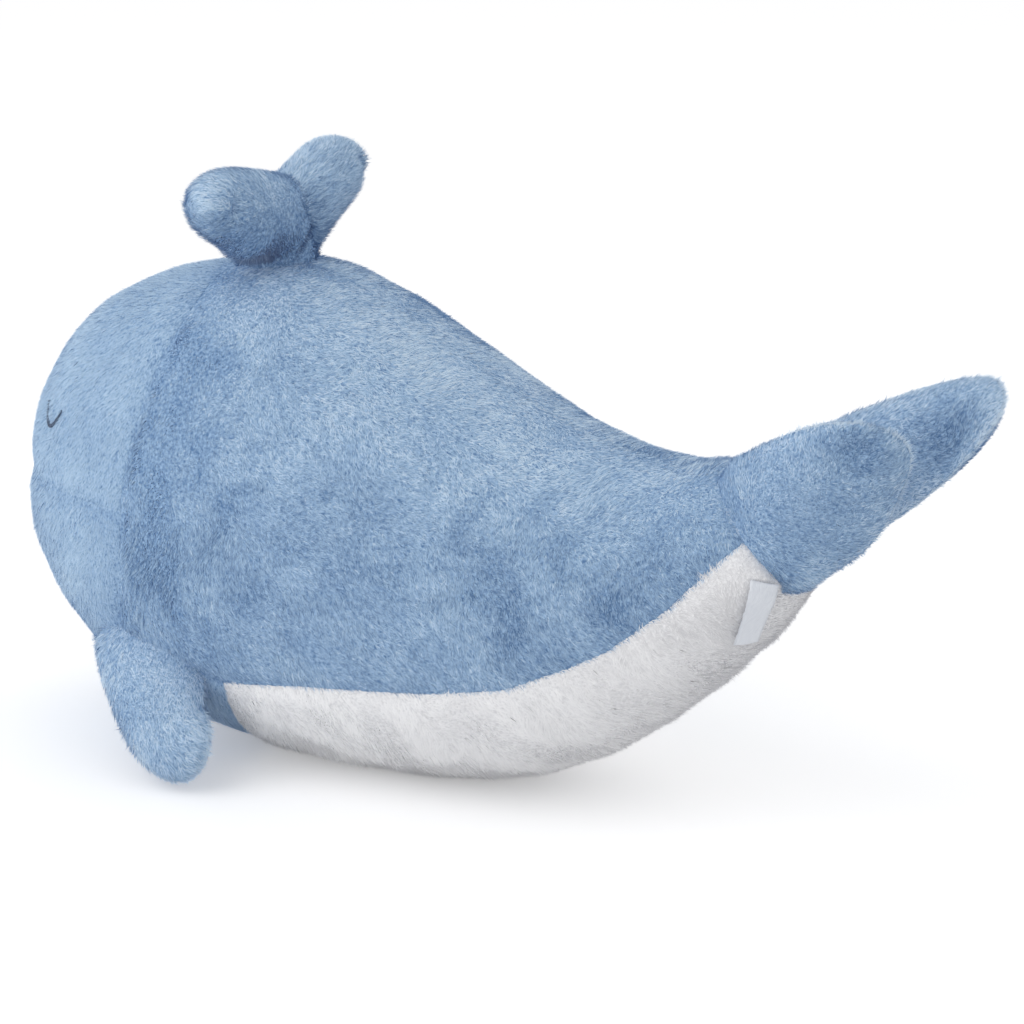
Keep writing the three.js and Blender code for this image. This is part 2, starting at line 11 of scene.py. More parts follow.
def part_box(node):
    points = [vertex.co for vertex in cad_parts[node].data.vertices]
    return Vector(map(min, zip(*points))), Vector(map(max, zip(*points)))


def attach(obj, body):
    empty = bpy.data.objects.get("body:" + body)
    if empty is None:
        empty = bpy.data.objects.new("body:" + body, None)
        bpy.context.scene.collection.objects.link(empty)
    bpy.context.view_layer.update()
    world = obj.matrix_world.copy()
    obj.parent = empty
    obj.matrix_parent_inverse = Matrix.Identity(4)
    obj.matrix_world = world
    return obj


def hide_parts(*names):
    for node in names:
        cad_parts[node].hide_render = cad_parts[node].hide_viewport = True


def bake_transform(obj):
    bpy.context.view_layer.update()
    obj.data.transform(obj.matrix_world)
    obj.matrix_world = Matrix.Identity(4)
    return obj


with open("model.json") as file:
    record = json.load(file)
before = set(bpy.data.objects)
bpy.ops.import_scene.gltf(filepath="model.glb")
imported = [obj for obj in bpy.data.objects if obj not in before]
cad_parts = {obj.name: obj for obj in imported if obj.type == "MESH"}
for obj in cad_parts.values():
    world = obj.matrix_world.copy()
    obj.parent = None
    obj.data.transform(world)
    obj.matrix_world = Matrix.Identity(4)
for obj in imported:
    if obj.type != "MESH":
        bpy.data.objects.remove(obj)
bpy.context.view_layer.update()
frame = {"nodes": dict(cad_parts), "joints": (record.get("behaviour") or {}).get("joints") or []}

scene = bpy.context.scene
scene.view_settings.view_transform = "Standard"
hands = {"left": -1, "right": 1}  # the whale's own left is towards -Y
joints = {joint["child"]: joint for joint in frame["joints"]}

# the photograph's viewing angle
cameraSet = {
    "azimuth": 33.0,
    "elevation": 15.5,
    "target": (0.0301, 0.0, 0.2169),
    "distance": 3.0,
    "lens": 131.84,
    "shift": (0.0057, 0.0078),
}


def placeCamera(setup):
    turn = math.radians(setup["azimuth"])
    rise = math.radians(setup["elevation"])
    back = Vector((math.sin(turn) * math.cos(rise), -math.cos(turn) * math.cos(rise), math.sin(rise)))
    data = bpy.data.cameras.new("photoCamera")
    data.lens = setup["lens"]
    data.shift_x, data.shift_y = setup["shift"]
    camera = bpy.data.objects.new("photoCamera", data)
    camera.location = Vector(setup["target"]) + back * setup["distance"]
    camera.rotation_euler = (-back).to_track_quat("-Z", "Y").to_euler()
    scene.collection.objects.link(camera)
    scene.camera = camera


placeCamera(cameraSet)

# soft studio light: an even world, a large key lamp, a low fill and a weaker lamp behind
studioSet = {
    "worldLight": 0.80,
    "lamps": {
        "keyLamp": {"at": (-1.1, -1.9, 2.7), "size": 2.4, "power": 19.0},
        "fillLamp": {"at": (-1.6, -2.3, 0.45), "size": 1.8, "power": 18.0},
        "backLamp": {"at": (1.2, 1.6, 2.6), "size": 2.2, "power": 6.0},
    },
    "aim": (0.0, 0.0, 0.2),
    "floorSize": 60.0,
    "floorColor": (0.9, 0.9, 0.905, 1.0),
    "floorGlow": 0.26,
}


def buildWorld(setup):
    world = bpy.data.worlds.new("studioWorld")
    scene.world = world
    world.use_nodes = True
    nodes, links = world.node_tree.nodes, world.node_tree.links
    nodes.clear()
    out = nodes.new("ShaderNodeOutputWorld")
    mix = nodes.new("ShaderNodeMixShader")
    path = nodes.new("ShaderNodeLightPath")
    seen = nodes.new("ShaderNodeMath")
    seen.operation = "MAXIMUM"
    lit = nodes.new("ShaderNodeBackground")
    white = nodes.new("ShaderNodeBackground")
    lit.inputs["Color"].default_value = white.inputs["Color"].default_value = (1, 1, 1, 1)
    lit.inputs["Strength"].default_value = setup["worldLight"]
    links.new(path.outputs["Is Camera Ray"], seen.inputs[0])
    links.new(path.outputs["Is Glossy Ray"], seen.inputs[1])
    links.new(seen.outputs[0], mix.inputs[0])
    links.new(lit.outputs[0], mix.inputs[1])
    links.new(white.outputs[0], mix.inputs[2])
    links.new(mix.outputs[0], out.inputs["Surface"])


def hangLamps(setup):
    for name, lamp in setup["lamps"].items():
        data = bpy.data.lights.new(name, "AREA")
        data.energy = lamp["power"]
        data.size = lamp["size"]
        light = bpy.data.objects.new(name, data)
        light.location = lamp["at"]
        aim = Vector(setup["aim"]) - light.location
        light.rotation_euler = aim.to_track_quat("-Z", "Y").to_euler()
        scene.collection.objects.link(light)


# white paper: matt, with a little glow for the camera alone, so that it shows pale and keeps the shadow
def layFloor(setup):
    half = setup["floorSize"] / 2
    mesh = bpy.data.meshes.new("studioFloor")
    corners = [(-half, -half, 0), (half, -half, 0), (half, half, 0), (-half, half, 0)]
    mesh.from_pydata(corners, [], [(0, 1, 2, 3)])
    floor = bpy.data.objects.new("studioFloor", mesh)
    scene.collection.objects.link(floor)
    paper = bpy.data.materials.new("studioPaper")
    paper.use_nodes = True
    nodes, links = paper.node_tree.nodes, paper.node_tree.links
    nodes.clear()
    out = nodes.new("ShaderNodeOutputMaterial")
    add = nodes.new("ShaderNodeAddShader")
    matt = nodes.new("ShaderNodeBsdfDiffuse")
    matt.inputs["Color"].default_value = setup["floorColor"]
    glow = nodes.new("ShaderNodeEmission")
    path = nodes.new("ShaderNodeLightPath")
    level = nodes.new("ShaderNodeMath")
    level.operation = "MULTIPLY"
    level.inputs[1].default_value = setup["floorGlow"]
    links.new(path.outputs["Is Camera Ray"], level.inputs[0])
    links.new(level.outputs[0], glow.inputs["Strength"])
    links.new(matt.outputs[0], add.inputs[0])
    links.new(glow.outputs[0], add.inputs[1])
    links.new(add.outputs[0], out.inputs["Surface"])
    mesh.materials.append(paper)


buildWorld(studioSet)
hangLamps(studioSet)
layFloor(studioSet)
print("camera and studio are up")


# helpers for meshes, all in metres in the shared frame

def linked(name, mesh):
    piece = bpy.data.objects.new(name, mesh)
    scene.collection.objects.link(piece)
    return piece


def meshPiece(name, places, faces):
    mesh = bpy.data.meshes.new(name)
    mesh.from_pydata(places.tolist(), [], faces)
    return linked(name, mesh)


def coordsOf(mesh):
    flat = np.empty(len(mesh.vertices) * 3, np.float32)
    mesh.vertices.foreach_get("co", flat)
    return flat.reshape(-1, 3).astype(float)


def normalsOf(mesh):
    flat = np.empty(len(mesh.vertices) * 3, np.float32)
    mesh.vertex_normals.foreach_get("vector", flat)
    return flat.reshape(-1, 3).astype(float)


def setCoords(mesh, places):
    mesh.vertices.foreach_set("co", places.astype(np.float32).ravel())
    mesh.update()


def trianglesOf(mesh):
    mesh.calc_loop_triangles()
    flat = np.empty(len(mesh.loop_triangles) * 3, np.int32)
    mesh.loop_triangles.foreach_get("vertices", flat)
    return flat.reshape(-1, 3)


def vec(x, y, z):
    return np.array([x, y, z], float)


def unit(vectors):
    return vectors / np.maximum(np.linalg.norm(vectors, axis=-1, keepdims=True), 1e-12)


def smoothstep(low, high, values):
    t = np.clip((values - low) / (high - low), 0, 1)
    return t * t * (3 - 2 * t)


# 1 at nought, and next to nothing past twice the reach
def bell(values, reach=1):
    return np.exp(-((values / reach) ** 2))


def ringAngles(count):
    return np.arange(count) / count * 2 * math.pi


# how many waves are summed, and their lengths as shares of the one asked for
cloudSet = {"waves": 20, "shortest": 0.7, "longest": 1.5}


# a soft random field of about this wavelength, mostly between -2 and 2
def clouds(points, waveLength, seed):
    rng = np.random.default_rng(seed)
    count = cloudSet["waves"]
    along = unit(rng.normal(size=(count, 3)))
    pace = 2 * math.pi / (waveLength * rng.uniform(cloudSet["shortest"], cloudSet["longest"], count))
    phase = rng.uniform(0, 2 * math.pi, count)
    return np.sin(points @ (along * pace[:, None]).T + phase).sum(1) / math.sqrt(count / 2)


def applied(piece):
    graph = bpy.context.evaluated_depsgraph_get()
    mesh = bpy.data.meshes.new_from_object(piece.evaluated_get(graph))
    piece.modifiers.clear()
    piece.data = mesh
    return piece


def withModifier(piece, kind, **values):
    modifier = piece.modifiers.new(kind.lower(), kind)
    for key, value in values.items():
        setattr(modifier, key, value)
    return applied(piece)


# one even, rounded skin round a piece
def remeshed(piece, setup):
    withModifier(piece, "REMESH", mode="VOXEL", voxel_size=setup["voxel"])
    return withModifier(piece, "SMOOTH", factor=setup["smoothShare"], iterations=setup["smoothing"])


def joinedCopy(name, nodes):
    places, faces, start = [], [], 0
    for node in nodes:
        mesh = frame["nodes"][node].data
        places.append(coordsOf(mesh))
        faces.append(trianglesOf(mesh) + start)
        start += len(mesh.vertices)
    return meshPiece(name, np.concatenate(places), np.concatenate(faces).tolist())


def smoothShaded(piece):
    piece.data.polygons.foreach_set("use_smooth", [True] * len(piece.data.polygons))
    piece.data.update()
    return piece


def treeOf(mesh):
    return BVHTree.FromPolygons(coordsOf(mesh).tolist(), trianglesOf(mesh).tolist())


def distancesTo(tree, points):
    return np.array([tree.find_nearest(point)[3] for point in points])


# distance outside a closed skin, negative inside it
def outside(tree, points):
    found = np.empty(len(points))
    for index, point in enumerate(points):
        spot, normal, _, gap = tree.find_nearest(point)
        found[index] = gap if (Vector(point) - spot).dot(normal) > 0 else -gap
    return found


puffSet = {"pressure": 4.0, "frames": 20, "quality": 4, "leastHold": 0.01}


# stuffing pushes the cloth out, what is held stays, and no point moves further than the cap
def puffed(piece, held, cap):
    group = piece.vertex_groups.new(name="held")
    for index in np.nonzero(held > puffSet["leastHold"])[0]:
        group.add([int(index)], float(held[index]), "REPLACE")
    cloth = piece.modifiers.new("stuffed", "CLOTH")
    settings = cloth.settings
    settings.vertex_group_mass = "held"
    settings.use_pressure = True
    settings.uniform_pressure_force = puffSet["pressure"]
    settings.effector_weights.gravity = 0
    settings.quality = puffSet["quality"]
    cloth.point_cache.frame_start = 1
    cloth.point_cache.frame_end = puffSet["frames"]
    for step in range(1, puffSet["frames"] + 1):
        scene.frame_set(step)
    graph = bpy.context.evaluated_depsgraph_get()
    moved = coordsOf(piece.evaluated_get(graph).data)
    piece.modifiers.remove(cloth)
    piece.vertex_groups.clear()
    scene.frame_set(1)
    before = coordsOf(piece.data)
    shift = moved - before
    size = np.linalg.norm(shift, axis=1, keepdims=True)
    shift *= np.minimum(1, cap / np.maximum(size, 1e-9))
    setCoords(piece.data, before + shift)
    print("  stuffed", piece.name, "mean move mm", round(float(size.mean()) * 1000, 2))


# finishes

def rgba(color):
    return (*color, 1.0)


def newMaterial(name, roughness, shine):
    material = bpy.data.materials.new(name)
    material.use_nodes = True
    shader = material.node_tree.nodes["Principled BSDF"]
    shader.inputs["Roughness"].default_value = roughness
    shader.inputs["Specular IOR Level"].default_value = shine
    return material, material.node_tree.nodes, material.node_tree.links, shader


# colour of a strand: its tone picks from the ramp, and painted shade darkens it towards the root
def pileMaterial(name, setup):
    material, nodes, links, shader = newMaterial(name, setup["roughness"], setup["shine"])
    shader.inputs["Sheen Weight"].default_value = setup["sheen"]
    shader.inputs["Sheen Roughness"].default_value = setup["sheenRoughness"]
    tone = nodes.new("ShaderNodeAttribute")
    tone.attribute_name = "tone"
    ramp = nodes.new("ShaderNodeValToRGB")
    ramp.color_ramp.elements[0].color = rgba(setup["dark"])
    # the edge colour at the top of the ramp is a painted highlight, reached on the rims and the tops
    ramp.color_ramp.elements[1].color = rgba(setup["edge"])
    ramp.color_ramp.elements.new(setup["midAt"]).color = rgba(setup["mid"])
    ramp.color_ramp.elements.new(setup["lightAt"]).color = rgba(setup["light"])
    links.new(tone.outputs["Fac"], ramp.inputs["Fac"])
    rise = nodes.new("ShaderNodeAttribute")
    rise.attribute_name = "rise"
    # painted shade towards the root, where real fibres would shadow each other
    depth = nodes.new("ShaderNodeMapRange")
    depth.inputs["To Min"].default_value = setup["rootShade"]
    links.new(rise.outputs["Fac"], depth.inputs["Value"])
    shade = nodes.new("ShaderNodeMix")
    shade.data_type = "RGBA"
    shade.blend_type = "MULTIPLY"
    shade.inputs["Factor"].default_value = 1.0
    links.new(ramp.outputs["Color"], shade.inputs["A"])
    links.new(depth.outputs["Result"], shade.inputs["B"])
    links.new(shade.outputs["Result"], shader.inputs["Base Color"])
    return material


# what a grained finish has unless its own dictionary says otherwise
grainSet = {
    "metal": 0.0, "stretch": (1, 1, 1), "detail": 4, "darkTo": 0.3, "midFrom": 0.7, "bump": 0.5,
    "bumpDepth": 0.001,
}


# noise in the object's own space that picks a colour and raises the surface
def grainMaterial(name, finish):
    setup = {**grainSet, **finish}
    material, nodes, links, shader = newMaterial(name, setup["roughness"], setup["shine"])
    shader.inputs["Metallic"].default_value = setup["metal"]
    place = nodes.new("ShaderNodeTexCoord")
    stretch = nodes.new("ShaderNodeMapping")
    stretch.inputs["Scale"].default_value = setup["stretch"]
    grain = nodes.new("ShaderNodeTexNoise")
    grain.inputs["Scale"].default_value = setup["grain"]
    grain.inputs["Detail"].default_value = setup["detail"]
    ramp = nodes.new("ShaderNodeValToRGB")
    ramp.color_ramp.elements[0].position = setup["darkTo"]
    ramp.color_ramp.elements[0].color = rgba(setup["dark"])
    ramp.color_ramp.elements[1].position = setup["midFrom"]
    ramp.color_ramp.elements[1].color = rgba(setup["mid"])
    bump = nodes.new("ShaderNodeBump")
    bump.inputs["Strength"].default_value = setup["bump"]
    bump.inputs["Distance"].default_value = setup["bumpDepth"]
    links.new(place.outputs["Object"], stretch.inputs["Vector"])
    links.new(stretch.outputs["Vector"], grain.inputs["Vector"])
    links.new(grain.outputs["Fac"], ramp.inputs["Fac"])
    links.new(ramp.outputs["Color"], shader.inputs["Base Color"])
    links.new(grain.outputs["Fac"], bump.inputs["Height"])
    links.new(bump.outputs["Normal"], shader.inputs["Normal"])
    return material


# both plushes, with the places of their middle and light colours on the ramp of tones
plush = {"midAt": 0.46, "lightAt": 0.82, "shine": 0.2, "sheen": 0.1, "sheenRoughness": 0.5}
bluePlush = {
    **plush,
    "dark": (0.085, 0.175, 0.345),
    "mid": (0.33, 0.48, 0.68),
    "light": (0.48, 0.66, 0.86),
    # edge: the painted highlight colour
    "edge": (0.66, 0.80, 0.94),
    "rootShade": 0.68,
    "roughness": 0.8,
}
whitePlush = {
    **plush,
    "dark": (0.64, 0.64, 0.66),
    "mid": (0.87, 0.87, 0.885),
    "light": (0.94, 0.94, 0.95),
    # edge: the painted highlight colour
    "edge": (0.96, 0.96, 0.965),
    "rootShade": 0.93,
    "roughness": 0.85,
}
knit = {"grain": 420.0, "roughness": 0.95, "shine": 0.1}  # the backing that the pile stands in
fibreSet = {
    "dark": (0.70, 0.70, 0.69), "mid": (0.88, 0.88, 0.87), "grain": 160.0,
    "roughness": 0.95, "shine": 0.1,
}
foamSet = {
    "dark": (0.62, 0.55, 0.33), "mid": (0.80, 0.74, 0.50), "grain": 500.0,
    "roughness": 0.9, "shine": 0.1,
}
plywoodSet = {
    "dark": (0.42, 0.25, 0.12), "mid": (0.66, 0.46, 0.26), "grain": 14.0,
    "stretch": (1.0, 12.0, 12.0), "roughness": 0.6, "shine": 0.3, "bump": 0.15,
}
screwSet = {
    "dark": (0.42, 0.42, 0.44), "mid": (0.62, 0.62, 0.64), "grain": 700.0,
    "roughness": 0.35, "shine": 0.5, "metal": 1.0, "bump": 0.05,
}
threadSet = {
    "dark": (0.04, 0.06, 0.11), "mid": (0.09, 0.125, 0.20), "grain": 900.0,
    "roughness": 0.6, "shine": 0.3,
}
satinSet = {
    "dark": (0.66, 0.69, 0.75), "mid": (0.76, 0.79, 0.84), "grain": 60.0,
    "stretch": (3.0, 40.0, 3.0), "roughness": 0.35, "shine": 0.5, "bump": 0.08,
}

bluePile = pileMaterial("bluePile", bluePlush)
whitePile = pileMaterial("whitePile", whitePlush)
blueKnit = grainMaterial("blueKnit", {**knit, "dark": bluePlush["dark"], "mid": bluePlush["mid"]})
whiteKnit = grainMaterial("whiteKnit", {**knit, "dark": whitePlush["dark"], "mid": whitePlush["mid"]})
fibre = grainMaterial("fibre", fibreSet)
foam = grainMaterial("foam", foamSet)
plywood = grainMaterial("plywood", plywoodSet)
steel = grainMaterial("steel", screwSet)
thread = grainMaterial("thread", threadSet)
satin = grainMaterial("satin", satinSet)


# pile: every strand is a real tapered blade that leans with the nap

pileSet = {
    "density": 800000,  # strands in a square metre
    "length": 0.0075,
    "lengthVary": 0.18,
    "width": 0.00075,
    "widthVary": 0.2,
    "varyLimits": (0.5, 1.6),  # least and greatest share of the length and the width
    "rootDepth": 0.0006,
    "lean": 1.28,  # radians from straight up
    "leanVary": 0.08,
    "leanSize": 0.05,
    "leanLimits": (0.15, 1.45),
    "standShare": 0.75,  # how much of its lean a brushed strand loses
    "swirl": 0.30,
    "swirlSize": 0.085,
    "fineSwirl": 0.5,  # smaller swirls in the large ones: their share, and how many times smaller
    "fineSwirlSplit": 5,
    "stray": 0.38,
    "roll": 0.45,
    "upShade": 0.8,  # a strand is lit mostly as the skin under it
    "ownShade": 0.3,
    "tone": 0.5,
    "toneVary": 0.10,
    "toneSize": 0.06,
    "fineTone": 0.5,
    "fineToneSize": 0.012,
    "tuft": 0.12,  # tone from tuft to tuft
    "tuftSize": 0.0045,
    "strandVary": 0.24,
    "topTone": 0.20,  # painted light: lighter where it faces up
    # painted shade: darker where it faces down
    "underTone": 0.0,
    "bury": -0.004,  # strands deeper than this in a neighbour are left out
    "floorGap": 0.0008,
}
pileSeeds = {"panels": 100, "limbs": 300, "step": 10}


def strandMesh(name, rows, normals, tone, material):
    count = len(tone)
    mesh = bpy.data.meshes.new(name)
    mesh.vertices.add(count * 3)
    mesh.vertices.foreach_set("co", np.stack(rows, 1).astype(np.float32).ravel())
    mesh.loops.add(count * 3)
    mesh.loops.foreach_set("vertex_index", np.arange(count * 3, dtype=np.int32))
    mesh.polygons.add(count)
    mesh.polygons.foreach_set("loop_start", np.arange(0, count * 3, 3, dtype=np.int32))
    mesh.update(calc_edges=True)
    shades = {"tone": np.repeat(tone, 3), "rise": np.tile([0.0, 0.0, 1.0], count)}
    for key, values in shades.items():
        mesh.attributes.new(key, "FLOAT", "POINT").data.foreach_set("value", values.astype(np.float32))
    # every strand has a cell of its own in the map that the finish is baked through
    cells = math.ceil(math.sqrt(count))
    corners = np.array([[0.1, 0.1], [0.9, 0.1], [0.5, 0.9]])
    home = np.stack([np.arange(count) % cells, np.arange(count) // cells], 1)
    spots = ((home[:, None, :] + corners) / cells).reshape(-1, 2)
    mesh.uv_layers.new(name="OFBake").data.foreach_set("uv", spots.astype(np.float32).ravel())
    mesh.polygons.foreach_set("use_smooth", [True] * count)
    mesh.normals_split_custom_set_from_vertices(np.repeat(normals, 3, 0).astype(np.float32))
    mesh.materials.append(material)
    return mesh


# spots spread evenly over the skin: the corners round each, its shares of them and its random draws
def scattered(skin, setup, clear, rng):
    places, corners = coordsOf(skin.data), trianglesOf(skin.data)
    a, b, c = (places[corners[:, i]] for i in range(3))
    reach = np.cumsum(np.linalg.norm(np.cross(b - a, c - a), axis=1) / 2)
    count = int(reach[-1] * setup["density"])
    face = np.minimum(np.searchsorted(reach, rng.random(count) * reach[-1]), len(reach) - 1)
    u, v = np.sqrt(rng.random(count)), rng.random(count)
    shares = np.stack([1 - u, u * (1 - v), u * v], 1)
    draws = rng.normal(size=(count, 6))
    kept = (clear[corners[face]] * shares).sum(1) > setup["bury"]
    return corners[face][kept], shares[kept], draws[kept]


# fields holds nap, tone, stand and clear for each point of the skin, and trim where the pile is cut
def grownPile(name, skin, setup, fields, seed, material):
    corners, shares, draws = scattered(skin, setup, fields["clear"], np.random.default_rng(seed))

    def spread(values):
        return np.einsum("ij...,ij->i...", values[corners], shares)

    root, up = spread(coordsOf(skin.data)), unit(spread(normalsOf(skin.data)))
    nap = spread(fields["nap"])
    nap = unit(nap - up * (nap * up).sum(1, keepdims=True))
    across = np.cross(up, nap)
    fineSize = setup["swirlSize"] / setup["fineSwirlSplit"]
    turn = setup["swirl"] * clouds(root, setup["swirlSize"], seed + 1)
    turn += setup["fineSwirl"] * setup["swirl"] * clouds(root, fineSize, seed + 2)
    turn += setup["stray"] * draws[:, 0]
    nap = nap * np.cos(turn)[:, None] + across * np.sin(turn)[:, None]
    lean = setup["lean"] + setup["leanVary"] * (clouds(root, setup["leanSize"], seed + 3) + draws[:, 1])
    tone = setup["tone"] + setup["toneVary"] * clouds(root, setup["toneSize"], seed + 4)
    tone += setup["fineTone"] * setup["toneVary"] * clouds(root, setup["fineToneSize"], seed + 5)
    tone += setup["strandVary"] * draws[:, 2]
    tone += setup["tuft"] * clouds(root, setup["tuftSize"], seed + 6)
    tone = tone + spread(fields["tone"])
    length = setup["length"] * np.clip(1 + setup["lengthVary"] * draws[:, 3], *setup["varyLimits"])
    width = setup["width"] * np.clip(1 + setup["widthVary"] * draws[:, 5], *setup["varyLimits"])
    if "trim" in fields:
        length = length * spread(fields["trim"])
    lean = lean * (1 - setup["standShare"] * spread(fields["stand"]))
    lean = np.clip(lean, *setup["leanLimits"])[:, None]
    aim = up * np.cos(lean) + nap * np.sin(lean)
    tip = root + aim * length[:, None]
    flat = unit(np.cross(aim, up))
    roll = (setup["roll"] * draws[:, 4])[:, None]
    half = flat * np.cos(roll) + np.cross(aim, flat) * np.sin(roll)
    half = half * (width / 2)[:, None]
    facing = unit(np.cross(half, aim))
    facing *= np.where((facing * up).sum(1, keepdims=True) < 0, -1, 1)
    root = root - up * setup["rootDepth"]
    rows = [root - half, root + half, tip]
    for row in rows:
        row[:, 2] = np.maximum(row[:, 2], setup["floorGap"])  # under the belly the pile lies flat
    normals = unit(up * setup["upShade"] + facing * setup["ownShade"])
    mesh = strandMesh(name, rows, normals, np.clip(tone, 0, 1), material)
    print("  pile", name, len(root), "strands")
    pile = linked(name, mesh)
    # light passes between real fibres, so the skin below casts the shadows
    pile.visible_shadow = False
    pile.visible_diffuse = False
    return pile


# torso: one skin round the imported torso, stuffed, then cut into its panels along the seams

torsoSet = {
    "voxel": 0.0065,
    "smoothing": 10,
    "smoothShare": 0.5,
    "pileDepth": 0.0026,  # the pile fills the rest of the cover's thickness
    "puffCap": 0.004,
    "heldWidth": 0.006,
    "heldDepth": 0.001,  # seams that draw in deeper than this hold the cloth
    "cutLimits": (0.03, 0.97),  # how near to an edge's ends the cut between two panels may come
    "floorBand": 0.010,
    "floorGap": 0.0014,
    "clothThickness": 0.0012,
    "tailRise": {"at": 0.245, "reach": 0.036, "height": 0.0125},  # the back runs up into the flukes
    # the tail's end draws in, apart from its left side
    "tailTuck": {"from": 0.27, "to": 0.31, "fadeFrom": -0.03, "fadeTo": -0.06, "depth": 0.005},
    "eyeDent": {"reach": 0.010, "depth": 0.0035},
}
panelNodes = {
    "face": "face_panel",
    "chin": "chin_panel",
    "leftSide": "left_side_panel",
    "rightSide": "right_side_panel",
    "belly": "belly_panel",
}
panelNames = list(panelNodes)
# how deep each seam draws the cover in, and over what width
seamPulls = {
    ("face", "chin"): (0.0026, 0.014),
    ("chin", "belly"): (0.0020, 0.009),
    ("leftSide", "rightSide"): (0.0003, 0.008),
}
for sidePanel in ("leftSide", "rightSide"):
    seamPulls["face", sidePanel] = (0.0020, 0.010)
    seamPulls["chin", sidePanel] = (0.0030, 0.009)
    seamPulls["belly", sidePanel] = (0.0020, 0.008)
innerNodes = [
    "head_stuffing", "tail_stuffing", "core_stuffing", "saddle_foam",
    "left_flank_stuffing", "right_flank_stuffing", "left_rocker_board", "right_rocker_board",
    "deck_board", "front_rail", "middle_rail", "rear_rail",
]
eyeNodes = {side: side + "_eye" for side in hands}
panelTrees = {name: treeOf(frame["nodes"][node].data) for name, node in panelNodes.items()}
eyeTrees = [treeOf(frame["nodes"][node].data) for node in eyeNodes.values()]


# distance from each point to each panel, in the order of panelNames
def panelDistances(points):
    return np.stack([distancesTo(panelTrees[name], points) for name in panelNames], 1)


def seamTables():
    depth = np.zeros((len(panelNames), len(panelNames)))
    width = np.ones_like(depth)  # any width does where nothing is drawn in
    for (one, other), (deep, wide) in seamPulls.items():
        i, j = panelNames.index(one), panelNames.index(other)
        depth[i, j] = depth[j, i] = deep
        width[i, j] = width[j, i] = wide
    return depth, width


# how far a point is from the seam nearest to it, and that seam's depth and width
def seamAt(points):
    distances = panelDistances(points)
    order = np.argsort(distances, 1)
    first, second = order[:, 0], order[:, 1]
    rows = np.arange(len(points))
    depth, width = seamTables()
    gap = distances[rows, second] - distances[rows, first]
    return gap, depth[first, second], width[first, second]


def eyeGap(points):
    return np.minimum(*[distancesTo(tree, points) for tree in eyeTrees])


def makeTorsoSkin(setup):
    skin = remeshed(joinedCopy("torsoSkin", list(panelNodes.values()) + innerNodes), setup)
    outer, ups = coordsOf(skin.data), normalsOf(skin.data)
    gap, depth, _ = seamAt(outer)
    setCoords(skin.data, outer - ups * setup["pileDepth"])
    held = bell(gap, setup["heldWidth"]) * (depth > setup["heldDepth"])
    puffed(skin, np.maximum(held, outer[:, 2] < setup["floorBand"]), setup["puffCap"])
    withModifier(skin, "SUBSURF", levels=1, render_levels=1)
    places, ups = coordsOf(skin.data), normalsOf(skin.data)
    gap, depth, width = seamAt(places + ups * setup["pileDepth"])
    pull = depth * bell(gap, width)
    rise, tuck, dent = (setup[key] for key in ("tailRise", "tailTuck", "eyeDent"))
    along, topSide = places[:, 0], np.maximum(ups[:, 2], 0) ** 2
    pull -= rise["height"] * bell(along - rise["at"], rise["reach"]) * topSide
    tucked = smoothstep(tuck["from"], tuck["to"], along)
    pull += tuck["depth"] * tucked * smoothstep(tuck["fadeTo"], tuck["fadeFrom"], places[:, 1])
    pull += dent["depth"] * bell(eyeGap(places), dent["reach"])
    places = places - ups * pull[:, None]
    places[:, 2] = np.maximum(places[:, 2], setup["floorGap"])  # flat where it stands on the floor
    setCoords(skin.data, places)
    return skin


# splits the edges where the nearest panel changes, then sorts the faces by panel
def cutIntoPanels(skin, setup):
    bm = bmesh.new()
    bm.from_mesh(skin.data)
    bm.normal_update()
    bm.verts.index_update()
    outer = np.array([vert.co + vert.normal * setup["pileDepth"] for vert in bm.verts])
    distances = panelDistances(outer)
    nearest = distances.argmin(1)
    low, high = setup["cutLimits"]
    cuts = []
    for edge in bm.edges:
        i, j = (vert.index for vert in edge.verts)
        if nearest[i] != nearest[j]:
            start = distances[i, nearest[i]] - distances[i, nearest[j]]
            end = distances[j, nearest[i]] - distances[j, nearest[j]]
            cuts.append((edge, edge.verts[0], min(high, max(low, start / (start - end)))))
    fresh = [bmesh.utils.edge_split(edge, vert, share)[1] for edge, vert, share in cuts]
    bmesh.ops.connect_verts(bm, verts=fresh)
    bmesh.ops.triangulate(bm, faces=bm.faces[:])
    bm.normal_update()
    mesh = bpy.data.meshes.new("torsoCut")
    bm.to_mesh(mesh)
    bm.free()
    places, ups, corners = coordsOf(mesh), normalsOf(mesh), trianglesOf(mesh)
    middles = places[corners].mean(1) + ups[corners].mean(1) * setup["pileDepth"]
    owner = panelDistances(middles).argmin(1)
    panels = {}
    for index, name in enumerate(panelNames):
        used, fit = np.unique(corners[owner == index], return_inverse=True)
        panel = meshPiece(name + "Panel", places[used], fit.reshape(-1, 3).tolist())
        panels[name] = smoothShaded(panel)
    return panels


torsoSkin = makeTorsoSkin(torsoSet)
panels = cutIntoPanels(torsoSkin, torsoSet)
torsoTree = treeOf(torsoSkin.data)
bpy.data.objects.remove(torsoSkin)
print("torso skin cut into", len(panels), "panels")


# limbs: lofted covers that run on into the torso, so that no gap opens at the root

